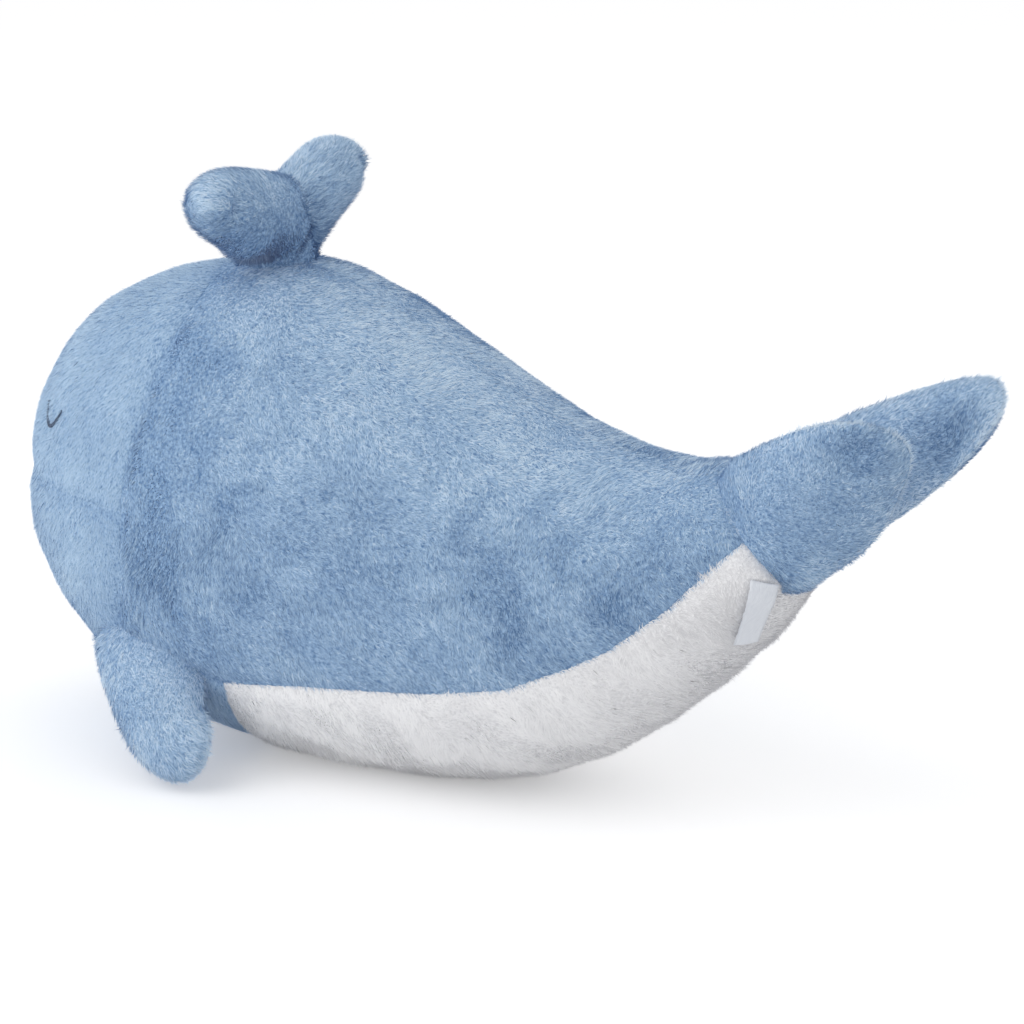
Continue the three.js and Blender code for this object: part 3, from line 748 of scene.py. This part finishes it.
limbSet = {
    "rings": 60,
    "sides": 72,
    "lastRing": 0.998,
    "tipCrowding": 1.5,  # the rings stand closer together towards the tip
    "pileDepth": 0.0026,
    "leastHalf": 0.0008,  # half the size of the smallest ring
    "puffCap": 0.003,
    "rootHeld": 12,
    "tipHeld": 8,
    "weltWidth": 0.12,
    "weltFade": 0.01,  # a narrower limb has less of the welt
    "rimWidth": 0.28,
    "rimFrom": 0.25,  # along the limb, welt and painted rim highlight start here
    "rimTo": 0.45,  # and are full from here on
    "deepestDent": 0.6,  # share of the half size
    "nearby": 0.01,  # how far round a limb other pieces look for it
    "creaseReach": 0.012,
    "standPerDark": 1.2,  # the nap stands up where the limb's tone is dark, painted shade included
    "standLimit": 0.55,
}
both = ("left", "right")
ringPlaces = 1 - (1 - np.linspace(0, 1, limbSet["rings"])) ** limbSet["tipCrowding"]
ringPlaces = limbSet["lastRing"] * ringPlaces

flukeSet = {
    "tilt": 42.0,
    "length": {"left": 0.167, "right": 0.181},
    "spread": {"left": 17.0, "right": 13.5},
    "drop": {"left": -0.005, "right": 0.011},
    "arch": {"left": -0.016, "right": -0.005},
    "twist": {"left": 38.0, "right": 54.0},
    "sink": 0.034,
    "rootLift": 0.022,  # the root rides up the back, so that the back line flows into it
    "halfWidth": {"left": 0.061, "right": 0.054},
    "halfThick": 0.035,
    # share at the root, where it is full, taper, where the tip starts to round, how square the tip is
    "widthForm": {"left": (0.72, 0.24, 0.22, 0.50, 2.6), "right": (0.72, 0.24, 0.26, 0.58, 2.8)},
    "thickForm": (0.62, 0.4, 0.3, 0.55, 2.0),
    "lens": 1.25,
    "welt": 0.0030,
    "rimTone": 0.85,
    # which sides, along, angle round the limb, reach along, reach round, depth, how dark: painted shade in
    # the hollows and on shaded faces, brushed nap in the band at the root
    "dents": [
        (("left",), 0.75, 0, 0.20, 40, 0.0070, 0.0),
        (both, 0.79, 52, 0.14, 36, 0.0070, 0.68),
        (both, 0.86, 250, 0.12, 36, 0.0070, 0.44),
        (both, 0.55, 75, 0.16, 30, 0.0030, 0.15),
        (both, 0.60, 285, 0.16, 34, 0.0025, 0.12),
        (both, 0.22, 305, 0.08, 50, 0.0, 0.10),
        (both, 0.16, 310, 0.14, 45, -0.0120, 0.0),
    ],
    "fan": 0.4,
}
flipperSet = {
    "reach": 0.034,
    "sweep": 0.062,
    "tipHeight": 0.025,
    "sink": 0.034,
    "forward": 0.024,
    "bend": (0.8, 0.69),
    "halfWidth": 0.050,
    "halfThick": 0.027,
    "widthForm": (1.24, 0.5, 0.36, 0.70, 2.6),
    "thickForm": (1.0, 0.5, 0.15, 0.6, 2.2),
    "lens": 1.1,
    "welt": 0.0018,
    "rimTone": 0.10,
    # a dent as for the flukes, with painted shade in its hollow
    "dents": [(both, 0.72, 0, 0.10, 26, 0.004, 0.12)],
    "fan": 0.25,
}
lobeSet = {
    "reach": {"left": 0.104, "right": 0.096},
    "rise": 0.022,
    "droop": {"left": 0.016, "right": 0.001},  # the left lobe hangs lower
    "lean": 0.009,
    "rootOffset": 0.012,
    "rootRise": 0.012,
    "seatDepth": 0.016,
    "bend": (0.4, 1.1),
    "halfWidth": {"left": 0.031, "right": 0.033},
    "halfThick": {"left": 0.036, "right": 0.034},
    "widthForm": (0.95, 0.4, 0.06, 0.60, 3.0),
    "thickForm": (1.05, 0.3, 0.16, 0.56, 2.8),
    "lens": 1.0,
    "welt": 0.0012,
    "rimTone": 0.0,
    # dents as for the flukes: the last figure is painted shade, and those with no depth are painted shadows
    # alone
    "dents": [
        (both, 0.97, 155, 0.03, 26, 0.0050, 0.12),
        (both, 0.79, 0, 0.05, 18, 0.0075, 0.30),
        (both, 0.88, 328, 0.08, 26, 0.0030, 0.30),
        (("left",), 0.42, 270, 0.22, 55, -0.0110, 0.0),
        (("left",), 0.30, 315, 0.16, 40, 0.0, 0.34),
        (("left",), 0.60, 300, 0.16, 40, 0.0, 0.14),
    ],
    "fan": 0.2,
}
stemSet = {
    "height": 0.046,
    "sink": 0.030,
    "halfWidth": 0.034,
    "halfThick": 0.033,
    "widthForm": (1.0, 0.5, 0.0, 0.55, 2.0),
    "thickForm": (1.0, 0.5, 0.0, 0.55, 2.0),
    "lens": 1.0,
    "welt": 0.0,
    "rimTone": 0.0,
    "dents": [],
    "fan": 0.0,
}


def bezier(root, bend, tip, t):
    t = t[:, None]
    return root * (1 - t) ** 2 + bend * 2 * t * (1 - t) + tip * t ** 2


# share of a limb's half size along it: root, full middle, round tip
def limbShare(u, rootShare, fullAt, taper, tipFrom, square):
    past = np.clip((u - tipFrom) / (1 - tipFrom), 0, 1)
    cap = np.maximum(0, 1 - past ** square) ** (1 / square)
    return cap * (rootShare + (1 - rootShare) * smoothstep(0, fullAt, u)) * (1 - taper * u)


def flukePath(side, setup):
    hand = hands[side]
    tilt, spread = math.radians(setup["tilt"]), math.radians(setup["spread"][side])
    tail = vec(math.cos(tilt), 0, math.sin(tilt))
    down = vec(tail[2], 0, -tail[0])
    seat = np.array(joints[side + "_fluke"]["pos_m"])
    reach = tail * math.cos(spread) + vec(0, hand * math.sin(spread), 0)
    root = seat - reach * setup["sink"] - down * setup["rootLift"]
    bend = seat + reach * setup["length"][side] / 2 - down * setup["arch"][side]
    tip = seat + reach * setup["length"][side] + down * setup["drop"][side]
    twist = math.radians(setup["twist"][side]) * ringPlaces[:, None]
    wide = down * np.cos(twist) - vec(0, hand, 0) * np.sin(twist)
    return bezier(root, bend, tip, ringPlaces), wide


def flipperPath(side, setup):
    hand = hands[side]
    seat = np.array(joints[side + "_flipper"]["pos_m"])
    root = seat + vec(-setup["forward"], -hand * setup["sink"], setup["sink"] / 2)
    bend = vec(seat[0], seat[1] + hand * setup["reach"] * setup["bend"][0], seat[2] * setup["bend"][1])
    tip = vec(seat[0] + setup["sweep"], seat[1] + hand * setup["reach"], setup["tipHeight"])
    return bezier(root, bend, tip, ringPlaces), np.tile(vec(1, 0, 0), (len(ringPlaces), 1))


def lobePath(side, setup):
    hand = hands[side]
    seat = np.array(joints[side + "_spout_lobe"]["pos_m"])
    fork = seat + vec(0, -hand * setup["rootOffset"], setup["seatDepth"])
    root = seat + vec(0, -hand * setup["rootOffset"], setup["rootRise"] - setup["seatDepth"])
    reach = hand * setup["reach"][side]
    bend = seat + vec(0, reach * setup["bend"][0], setup["rise"] * setup["bend"][1])
    tip = fork + vec(-setup["lean"], reach, setup["rise"] - setup["droop"][side])
    return bezier(root, bend, tip, ringPlaces), np.tile(vec(1, 0, 0), (len(ringPlaces), 1))


def stemPath(setup, lobe):
    seat = np.array(joints["left_spout_lobe"]["pos_m"])
    fork = seat + vec(0, lobe["rootOffset"], lobe["seatDepth"])
    crown = fork - vec(lobe["lean"], 0, setup["height"])
    root = crown - vec(0, 0, setup["sink"])
    return bezier(root, crown, fork, ringPlaces), np.tile(vec(0, 1, 0), (len(ringPlaces), 1))


def loftFaces(rings, around):
    faces = []
    for i in range(rings - 1):
        for j in range(around):
            k = (j + 1) % around
            faces.append((i * around + j, i * around + k, (i + 1) * around + k, (i + 1) * around + j))
    first, last = rings * around, rings * around + 1
    for j in range(around):
        k = (j + 1) % around
        faces.append((first, k, j))
        faces.append((last, last - 1 - around + j, last - 1 - around + k))
    return faces


# rings round the path, with the nap and the tone at every point of them
def limbRings(side, path, wide, setup):
    sized = {key: value[side] if isinstance(value, dict) else value for key, value in setup.items()}

    def halfSize(size, form):
        full = sized[size] * limbShare(ringPlaces, *sized[form])
        return np.maximum(full - limbSet["pileDepth"], limbSet["leastHalf"])

    along = unit(np.gradient(path, axis=0))
    wide = unit(wide - along * (wide * along).sum(1, keepdims=True))
    thick = np.cross(along, wide)
    angle = ringAngles(limbSet["sides"])
    halfWidth, halfThick = halfSize("halfWidth", "widthForm"), halfSize("halfThick", "thickForm")
    w = halfWidth[:, None] * np.cos(angle)
    t = halfThick[:, None] * np.sign(np.sin(angle)) * np.abs(np.sin(angle)) ** setup["lens"]
    outer = smoothstep(limbSet["rimFrom"], limbSet["rimTo"], ringPlaces)[:, None]
    welt = bell(np.sin(angle), limbSet["weltWidth"]) * outer
    weltShare = smoothstep(0, limbSet["weltFade"], halfWidth)[:, None]
    w = w + np.sign(np.cos(angle)) * setup["welt"] * welt * weltShare
    # painted highlight along the limb's rim, as if its edge fibres caught the light
    tone = setup["rimTone"] * bell(np.sin(angle), limbSet["rimWidth"]) * outer
    for sides, at, turn, reach, spread, deep, dark in setup["dents"]:
        if side not in sides:
            continue
        turn = math.radians(-turn if side == "right" else turn)
        off = np.abs((angle - turn + math.pi) % (2 * math.pi) - math.pi) / math.radians(spread)
        share = bell(ringPlaces - at, reach)[:, None] * bell(off)
        size = np.maximum(np.hypot(w, t), 1e-6)
        keep = 1 - np.minimum(deep * share, limbSet["deepestDent"] * size) / size
        w, t = w * keep, t * keep
        # painted shade in the dent's hollow
        tone = tone - dark * share
    rings = path[:, None, :] + wide[:, None, :] * w[:, :, None] + thick[:, None, :] * t[:, :, None]
    nap = along[:, None, :] + wide[:, None, :] * (setup["fan"] * w / halfWidth.max())[:, :, None]
    places = np.concatenate([rings.reshape(-1, 3), path[:1], path[-1:]])
    fields = {
        "nap": np.concatenate([nap.reshape(-1, 3), along[:1], along[-1:]]),
        "tone": np.concatenate([tone.ravel(), [0, 0]]),
    }
    return places, fields


# the cover itself, stuffed
def makeLimb(name, side, path, wide, setup):
    around = limbSet["sides"]
    places, fields = limbRings(side, path, wide, setup)
    places[:, 2] = np.maximum(places[:, 2], torsoSet["floorGap"])
    limb = meshPiece(name, places, loftFaces(len(path), around))
    bm = bmesh.new()
    bm.from_mesh(limb.data)
    bmesh.ops.recalc_face_normals(bm, faces=bm.faces)
    bm.to_mesh(limb.data)
    bm.free()
    held = np.zeros(len(places))
    held[: around * limbSet["rootHeld"]] = 1
    held[around * (len(path) - limbSet["tipHeld"]):] = 1
    puffed(limb, held, limbSet["puffCap"])
    return smoothShaded(limb), fields


limbs, limbFields, limbPaths = {}, {}, {}
for side in hands:
    for kind, maker, setup in (
        ("fluke", flukePath, flukeSet),
        ("flipper", flipperPath, flipperSet),
        ("spout_lobe", lobePath, lobeSet),
    ):
        body = side + "_" + kind
        path, wide = maker(side, setup)
        limbs[body], limbFields[body] = makeLimb(body + "Cover", side, path, wide, setup)
        limbPaths[body] = path
path, wide = stemPath(stemSet, lobeSet)
limbs["spout_stem"], limbFields["spout_stem"] = makeLimb("spout_stemCover", "middle", path, wide, stemSet)
limbPaths["spout_stem"] = path
limbTrees = {body: treeOf(limb.data) for body, limb in limbs.items()}
print("limbs lofted:", ", ".join(limbs))


# how far each point lies outside the limbs, leaving one out
def clearOfLimbs(points, skip=None):
    clear, nearby = np.full(len(points), 1.0), limbSet["nearby"]
    for body, tree in limbTrees.items():
        if body == skip:
            continue
        skin = coordsOf(limbs[body].data)
        near = ((points > skin.min(0) - nearby) & (points < skin.max(0) + nearby)).all(1)
        clear[near] = np.minimum(clear[near], outside(tree, points[near]))
    return clear


def bendsAt(piece):
    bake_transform(piece)


# places where the nap has been brushed up, and two where shade is painted towards the tail, how wide, and
# how dark they look
brushedAndShadedPatches = [
    ((-0.172, -0.130, 0.325), 0.048, 0.16),
    ((-0.180, -0.150, 0.260), 0.050, 0.12),
    ((-0.200, -0.162, 0.185), 0.045, 0.12),
    ((-0.124, -0.162, 0.199), 0.050, 0.10),
    ((-0.009, -0.134, 0.242), 0.050, 0.14),
    ((0.088, -0.119, 0.203), 0.040, 0.22),
    ((0.178, -0.097, 0.199), 0.030, 0.10),
    # painted shade: these two darken the side towards the tail
    ((0.190, -0.090, 0.245), 0.080, 0.14),
    ((0.260, -0.070, 0.270), 0.070, 0.10),
    ((-0.190, 0.150, 0.280), 0.055, 0.16),
    ((-0.020, 0.140, 0.220), 0.055, 0.14),
    ((0.080, 0.125, 0.205), 0.045, 0.20),
]
# behind the face's seam the sides' nap stands up in a broad band
seamBand = {
    "middle": 0.030, "reach": 0.032, "dark": 0.15,
    "bottom": 0.10, "bottomFade": 0.05, "top": 0.40, "topFade": 0.06,
}
raggedEdge = {"share": 0.3, "size": 0.035, "seed": 77, "limits": (0.6, 1.5)}


# how dark each point is, from brushed nap and from painted shade
def brushed(points):
    ragged = 1 + raggedEdge["share"] * clouds(points, raggedEdge["size"], raggedEdge["seed"])
    ragged = np.clip(ragged, *raggedEdge["limits"])
    behind = np.minimum(distancesTo(panelTrees["face"], points), distancesTo(panelTrees["chin"], points))
    height, bottom, top = points[:, 2], seamBand["bottom"], seamBand["top"]
    inBand = smoothstep(bottom, bottom + seamBand["bottomFade"], height)
    inBand *= 1 - smoothstep(top - seamBand["topFade"], top, height)
    away = (behind - seamBand["middle"]) / seamBand["reach"]
    strength = seamBand["dark"] * inBand * bell(away * ragged)
    for centre, radius, dark in brushedAndShadedPatches:
        reach = np.linalg.norm(points - np.array(centre), axis=1) / radius
        strength += dark * bell(reach * ragged)
    return strength


sideLook = {
    "nap": (0.85, 0, -0.52), "tone": 0.46, "toneVary": 0.06, "length": 0.0068, "strandVary": 0.20,
    "topTone": 0.44,
}
panelLooks = {
    "face": {
        "nap": (-0.1, 0, -1), "tone": 0.64, "toneVary": 0.03, "swirl": 0.12, "lean": 1.26, "length": 0.0065,
        "tuft": 0.03, "strandVary": 0.09, "topTone": 0.04,
    },
    "chin": {
        "nap": (0.25, 0, -1), "tone": 0.62, "toneVary": 0.04, "swirl": 0.15, "lean": 1.24, "length": 0.0065,
        "tuft": 0.04, "strandVary": 0.10, "topTone": 0.0,
    },
    "leftSide": sideLook,
    "rightSide": sideLook,
    "belly": {
        "nap": (0.9, 0, -0.2), "density": 560000, "width": 0.0009, "length": 0.0085, "lean": 1.05,
        "swirl": 0.55, "swirlSize": 0.05, "toneVary": 0.08, "strandVary": 0.10, "tuft": 0.08,
    },
}
# the pile is cut shorter beside seams, eyes and the tab, and stands up where it is brushed and where shade
# is painted on the sides
napSet = {
    "seam": {"reach": 0.006, "fullDepth": 0.003, "cut": 0.35, "dark": 0.05},
    "eye": {"reach": 0.004, "cut": 0.7},
    "tab": {"reach": 0.006, "cut": 0.75},
    "tailEnd": {"from": 0.26, "to": 0.295, "cut": 0.6},
    "standPerDark": 2.0,
    "standLimit": 0.6,
}
# painted shade and light: the belly is darker towards the tail and lighter towards the chin
paintedBellyTailShade = {"from": 0.12, "to": 0.30, "dark": 0.45}
paintedBellyFrontLight = {"from": 0.12, "to": -0.20, "light": 0.3}
tabTree = treeOf(frame["nodes"]["sewn_tab"].data)


# painted light and shade: lighter on top and darker below
def paintedLightByFacing(piece, look):
    rise = normalsOf(piece.data)[:, 2]
    return look["topTone"] * np.maximum(rise, 0) - look["underTone"] * np.maximum(-rise, 0)


def panelFields(name, panel, setup):
    places = coordsOf(panel.data)
    along = places[:, 0]
    seam, eye, tab, tailEnd = (napSet[key] for key in ("seam", "eye", "tab", "tailEnd"))
    gap, depth, _ = seamAt(places + normalsOf(panel.data) * torsoSet["pileDepth"])
    near = bell(gap, seam["reach"]) * np.minimum(depth / seam["fullDepth"], 1)
    trim = 1 - seam["cut"] * near
    trim *= 1 - eye["cut"] * bell(eyeGap(places), eye["reach"])
    dark = brushed(places) if name.endswith("Side") else np.zeros(len(places))
    if name == "belly":
        # painted shade towards the tail and painted light towards the chin
        dark = paintedBellyTailShade["dark"] * smoothstep(paintedBellyTailShade["from"], paintedBellyTailShade["to"], along)
        dark -= paintedBellyFrontLight["light"] * (1 - smoothstep(paintedBellyFrontLight["to"], paintedBellyFrontLight["from"], along))
        trim *= 1 - tab["cut"] * bell(distancesTo(tabTree, places), tab["reach"])
        trim *= 1 - tailEnd["cut"] * smoothstep(tailEnd["from"], tailEnd["to"], along)
    stand = np.clip(dark * napSet["standPerDark"], 0, napSet["standLimit"])
    return {
        "nap": np.tile(vec(*setup["nap"]), (len(places), 1)),
        "trim": trim,
        "stand": stand * (1 - near) * (name != "belly"),
        "tone": paintedLightByFacing(panel, setup) - dark - seam["dark"] * near,
        "clear": clearOfLimbs(places),
    }


for seed, (name, panel) in enumerate(panels.items()):
    white = name == "belly"
    setup = {**pileSet, **panelLooks[name]}
    pile = grownPile(
        name + "Pile", panel, setup, panelFields(name, panel, setup),
        pileSeeds["panels"] + pileSeeds["step"] * seed, whitePile if white else bluePile,
    )
    panel.data.materials.append(whiteKnit if white else blueKnit)
    withModifier(panel, "SOLIDIFY", thickness=torsoSet["clothThickness"], offset=-1.0)
    for piece in (panel, pile):
        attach(piece, "torso")
    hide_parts(panelNodes[name])
print("torso panels and their pile are on")

limbLooks = {
    "fluke": {
        "tone": 0.54, "length": 0.0065, "lean": 1.34, "leanVary": 0.05, "topTone": 0.22, "crease": 0.04,
    },
    "flipper": {"tone": 0.68, "crease": 0.10},
    "spout_lobe": {
        "tone": 0.46, "lean": 1.30, "leanVary": 0.06, "topTone": 0.26, "underTone": 0.30, "crease": 0.30,
    },
    "spout_stem": {"tone": 0.38, "lean": 1.28, "underTone": 0.30, "crease": 0.30},
}
for seed, (body, limb) in enumerate(limbs.items()):
    kind = body.split("_", 1)[1] if body in joints else body
    setup = {**pileSet, **limbLooks[kind]}
    places, fields = coordsOf(limb.data), limbFields[body]
    fields["clear"] = np.minimum(outside(torsoTree, places), clearOfLimbs(places, skip=body))
    # painted shade in the crease where a limb meets the torso or another limb
    crease = bell(fields["clear"], limbSet["creaseReach"])
    fields["tone"] = fields["tone"] + paintedLightByFacing(limb, setup) - setup["crease"] * crease
    fields["stand"] = np.clip(-fields["tone"] * limbSet["standPerDark"], 0, limbSet["standLimit"])
    pileSeed = pileSeeds["limbs"] + pileSeeds["step"] * seed
    pile = grownPile(body + "Pile", limb, setup, fields, pileSeed, bluePile)
    limb.data.materials.append(blueKnit)
    for piece in (limb, pile):
        if body in joints:
            bendsAt(piece)
        else:
            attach(piece, "torso")
    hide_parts(body + "_cover")
print("limbs and their pile are on")


# fillings: lumpy fibre in every pocket, and foam under the back
fillingSet = {
    "voxel": 0.009, "smoothing": 6, "smoothShare": 0.5, "shrink": 0.0055, "lumpSize": 0.045, "lump": 0.0012,
    "margin": 0.003, "tries": 16, "draw": 0.88, "firstSeed": 500,
}
fillingNodes = [node for node in frame["nodes"] if node.endswith(("_stuffing", "_foam"))]


def makeFilling(node, setup, seed):
    piece = remeshed(joinedCopy(node + "Fill", [node]), setup)
    places, ups = coordsOf(piece.data), normalsOf(piece.data)
    lumps = setup["lump"] * clouds(places, setup["lumpSize"], seed)
    setCoords(piece.data, places + ups * (lumps - setup["shrink"])[:, None])
    return smoothShaded(piece)


# a limb's filling is drawn in toward its middle until the cover holds all of it
def keptInside(filling, body, setup):
    places, path = coordsOf(filling.data), limbPaths[body]
    middles = path[np.linalg.norm(places[:, None] - path[None], axis=2).argmin(1)]
    for _ in range(setup["tries"]):
        over = outside(limbTrees[body], places) > -setup["margin"]
        places[over] = middles[over] + (places[over] - middles[over]) * setup["draw"]
    setCoords(filling.data, places)


for seed, node in enumerate(fillingNodes):
    soft = node.endswith("_stuffing")
    filling = makeFilling(node, fillingSet, fillingSet["firstSeed"] + seed)
    filling.data.materials.append(fibre if soft else foam)
    body = node.removesuffix("_stuffing")
    if body in limbPaths:
        keptInside(filling, body, fillingSet)
    if body in joints:
        bendsAt(filling)
    else:
        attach(filling, "torso")
    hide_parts(node)
print("fillings:", len(fillingNodes))

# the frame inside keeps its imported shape
for node, piece in frame["nodes"].items():
    if node.endswith(("_board", "_rail")):
        piece.data.materials.clear()
        piece.data.materials.append(plywood)
    elif node.endswith("_screw"):
        piece.data.materials.clear()
        piece.data.materials.append(steel)
print("boards, rails and screws are finished")


# closed eyes: satin stitches side by side along a shallow arc
eyeSet = {
    "stitches": 30, "length": 0.0034, "radius": 0.0007, "endShare": 0.05, "lift": 0.0009, "bowShare": 0.6,
    "inset": 0.0012, "rings": 6, "sides": 6,
}
offStitch = vec(0.31, 0.17, 0.94)  # a direction that no stitch runs in


def tubeAlong(path, radii, around):
    along = unit(np.gradient(path, axis=0))
    side = unit(np.cross(along, offStitch))
    over = np.cross(along, side)
    angle = ringAngles(around)
    ring = side[:, None, :] * np.cos(angle)[:, None] + over[:, None, :] * np.sin(angle)[:, None]
    places = path[:, None, :] + ring * radii[:, None, None]
    return np.concatenate([places.reshape(-1, 3), path[:1], path[-1:]]), loftFaces(len(path), around)


def makeEye(side, setup):
    low, high = (np.array(corner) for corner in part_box(eyeNodes[side]))
    hand, inset = hands[side], setup["inset"]
    t = np.linspace(-1, 1, setup["stitches"])
    x = low[0] + (t + 1) / 2 * (high[0] - low[0])
    inner, outer = (high[1], low[1]) if hand < 0 else (low[1], high[1])
    y = inner + (t + 1) / 2 * (outer - inner)
    z = high[2] - inset - (high[2] - low[2] - 2 * inset) * (1 - t ** 2)
    arc = np.stack([x, y, z], 1)
    onSkin, ups = [], []
    for point in arc:
        spot, normal, _, _ = torsoTree.find_nearest(point)
        onSkin.append(np.array(spot))
        ups.append(np.array(normal))
    arc, ups = np.array(onSkin), np.array(ups)
    across = unit(np.cross(np.gradient(arc, axis=0), ups))
    places, faces, start = [], [], 0
    bow = np.linspace(-1, 1, setup["rings"])
    radii = setup["radius"] * np.sqrt(np.maximum(1 - bow ** 4, setup["endShare"]))
    arch = setup["lift"] * (1 + setup["bowShare"] * (1 - bow ** 2))
    for point, up, way in zip(arc, ups, across):
        path = point + way * (bow * setup["length"] / 2)[:, None] + up * arch[:, None]
        ring, cells = tubeAlong(path, radii, setup["sides"])
        places.append(ring)
        faces += [tuple(i + start for i in cell) for cell in cells]
        start += len(ring)
    eye = meshPiece(side + "EyeThread", np.concatenate(places), faces)
    eye.data.materials.append(thread)
    return smoothShaded(eye)


for side in hands:
    eye = makeEye(side, eyeSet)
    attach(eye, "torso")
    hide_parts(eyeNodes[side])
print("eyes are stitched")


# sewn tab: a blank satin ribbon, folded once at its free end, both ends caught in the seam
tabSet = {
    "steps": 28, "across": 9, "gap": 0.0007, "ply": 0.0009, "lift": 0.0055, "curl": 0.0030, "cup": 0.0004,
    "cloth": 0.00025, "rootLift": 0.35, "liftPace": 3, "rootBand": 0.004, "partedBy": 0.25,
}


# the ribbon's middle line, laid over the belly's pile from the seam on
def layRibbon(hinge, down, length, setup):
    step = length / (setup["steps"] - 1)
    spots, ups = [], []
    point, heading = Vector(hinge), Vector(down)
    for index in range(setup["steps"]):
        spot, normal, _, _ = torsoTree.find_nearest(point)
        share = index / (setup["steps"] - 1)
        rise = setup["lift"] * min(1.0, setup["rootLift"] + setup["liftPace"] * share)
        rise += setup["curl"] * share ** 2
        spots.append(np.array(spot + normal * rise))
        ups.append(np.array(normal))
        heading = (heading - normal * heading.dot(normal)).normalized()
        point = spot + heading * step
    return np.array(spots), np.array(ups)


def makeTab(setup):
    joint = joints["tab"]
    hinge, axis = np.array(joint["pos_m"]), unit(np.array(joint["axis"]))
    reach = coordsOf(frame["nodes"]["sewn_tab"].data) - hinge
    middle = reach.mean(0)
    down = unit(middle - axis * (middle @ axis))
    width = np.ptp(reach[np.abs(reach @ down) < setup["rootBand"]] @ axis)
    front, ups = layRibbon(hinge, down, np.linalg.norm(reach, axis=1).max(), setup)
    along = unit(np.gradient(front, axis=0))
    ups = unit(ups - along * (ups * along).sum(1, keepdims=True))
    parted = smoothstep(0, setup["partedBy"], np.linspace(0, 1, setup["steps"]))
    back = (front - ups * (setup["ply"] * parted)[:, None])[::-1]
    bend = front[-1:] + along[-1:] * setup["gap"] - ups[-1:] * setup["ply"] / 2
    profile = np.concatenate([front, bend, back])
    ups = np.concatenate([ups, ups[-1:], ups[::-1]])
    along = np.concatenate([along, along[-1:], along[::-1]])
    across = unit(np.cross(ups, along))
    v = np.linspace(-0.5, 0.5, setup["across"])
    cup = setup["cup"] * np.cos(v * 2 * math.pi)
    places = (
        profile[:, None, :]
        + across[:, None, :] * (v * width)[None, :, None]
        + ups[:, None, :] * cup[None, :, None]
    )
    count = setup["across"]
    faces = []
    for i in range(len(profile) - 1):
        for j in range(count - 1):
            faces.append((i * count + j, i * count + j + 1, (i + 1) * count + j + 1, (i + 1) * count + j))
    ribbon = smoothShaded(meshPiece("tabRibbon", places.reshape(-1, 3), faces))
    ribbon.data.materials.append(satin)
    withModifier(ribbon, "SOLIDIFY", thickness=setup["cloth"], offset=0.0)
    return ribbon, (width, np.linalg.norm(np.diff(profile, axis=0), axis=1).sum())


tab, tabCut = makeTab(tabSet)
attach(tab, "tab")
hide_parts("sewn_tab")
print("tab is sewn in, cut", [round(size, 4) for size in tabCut])
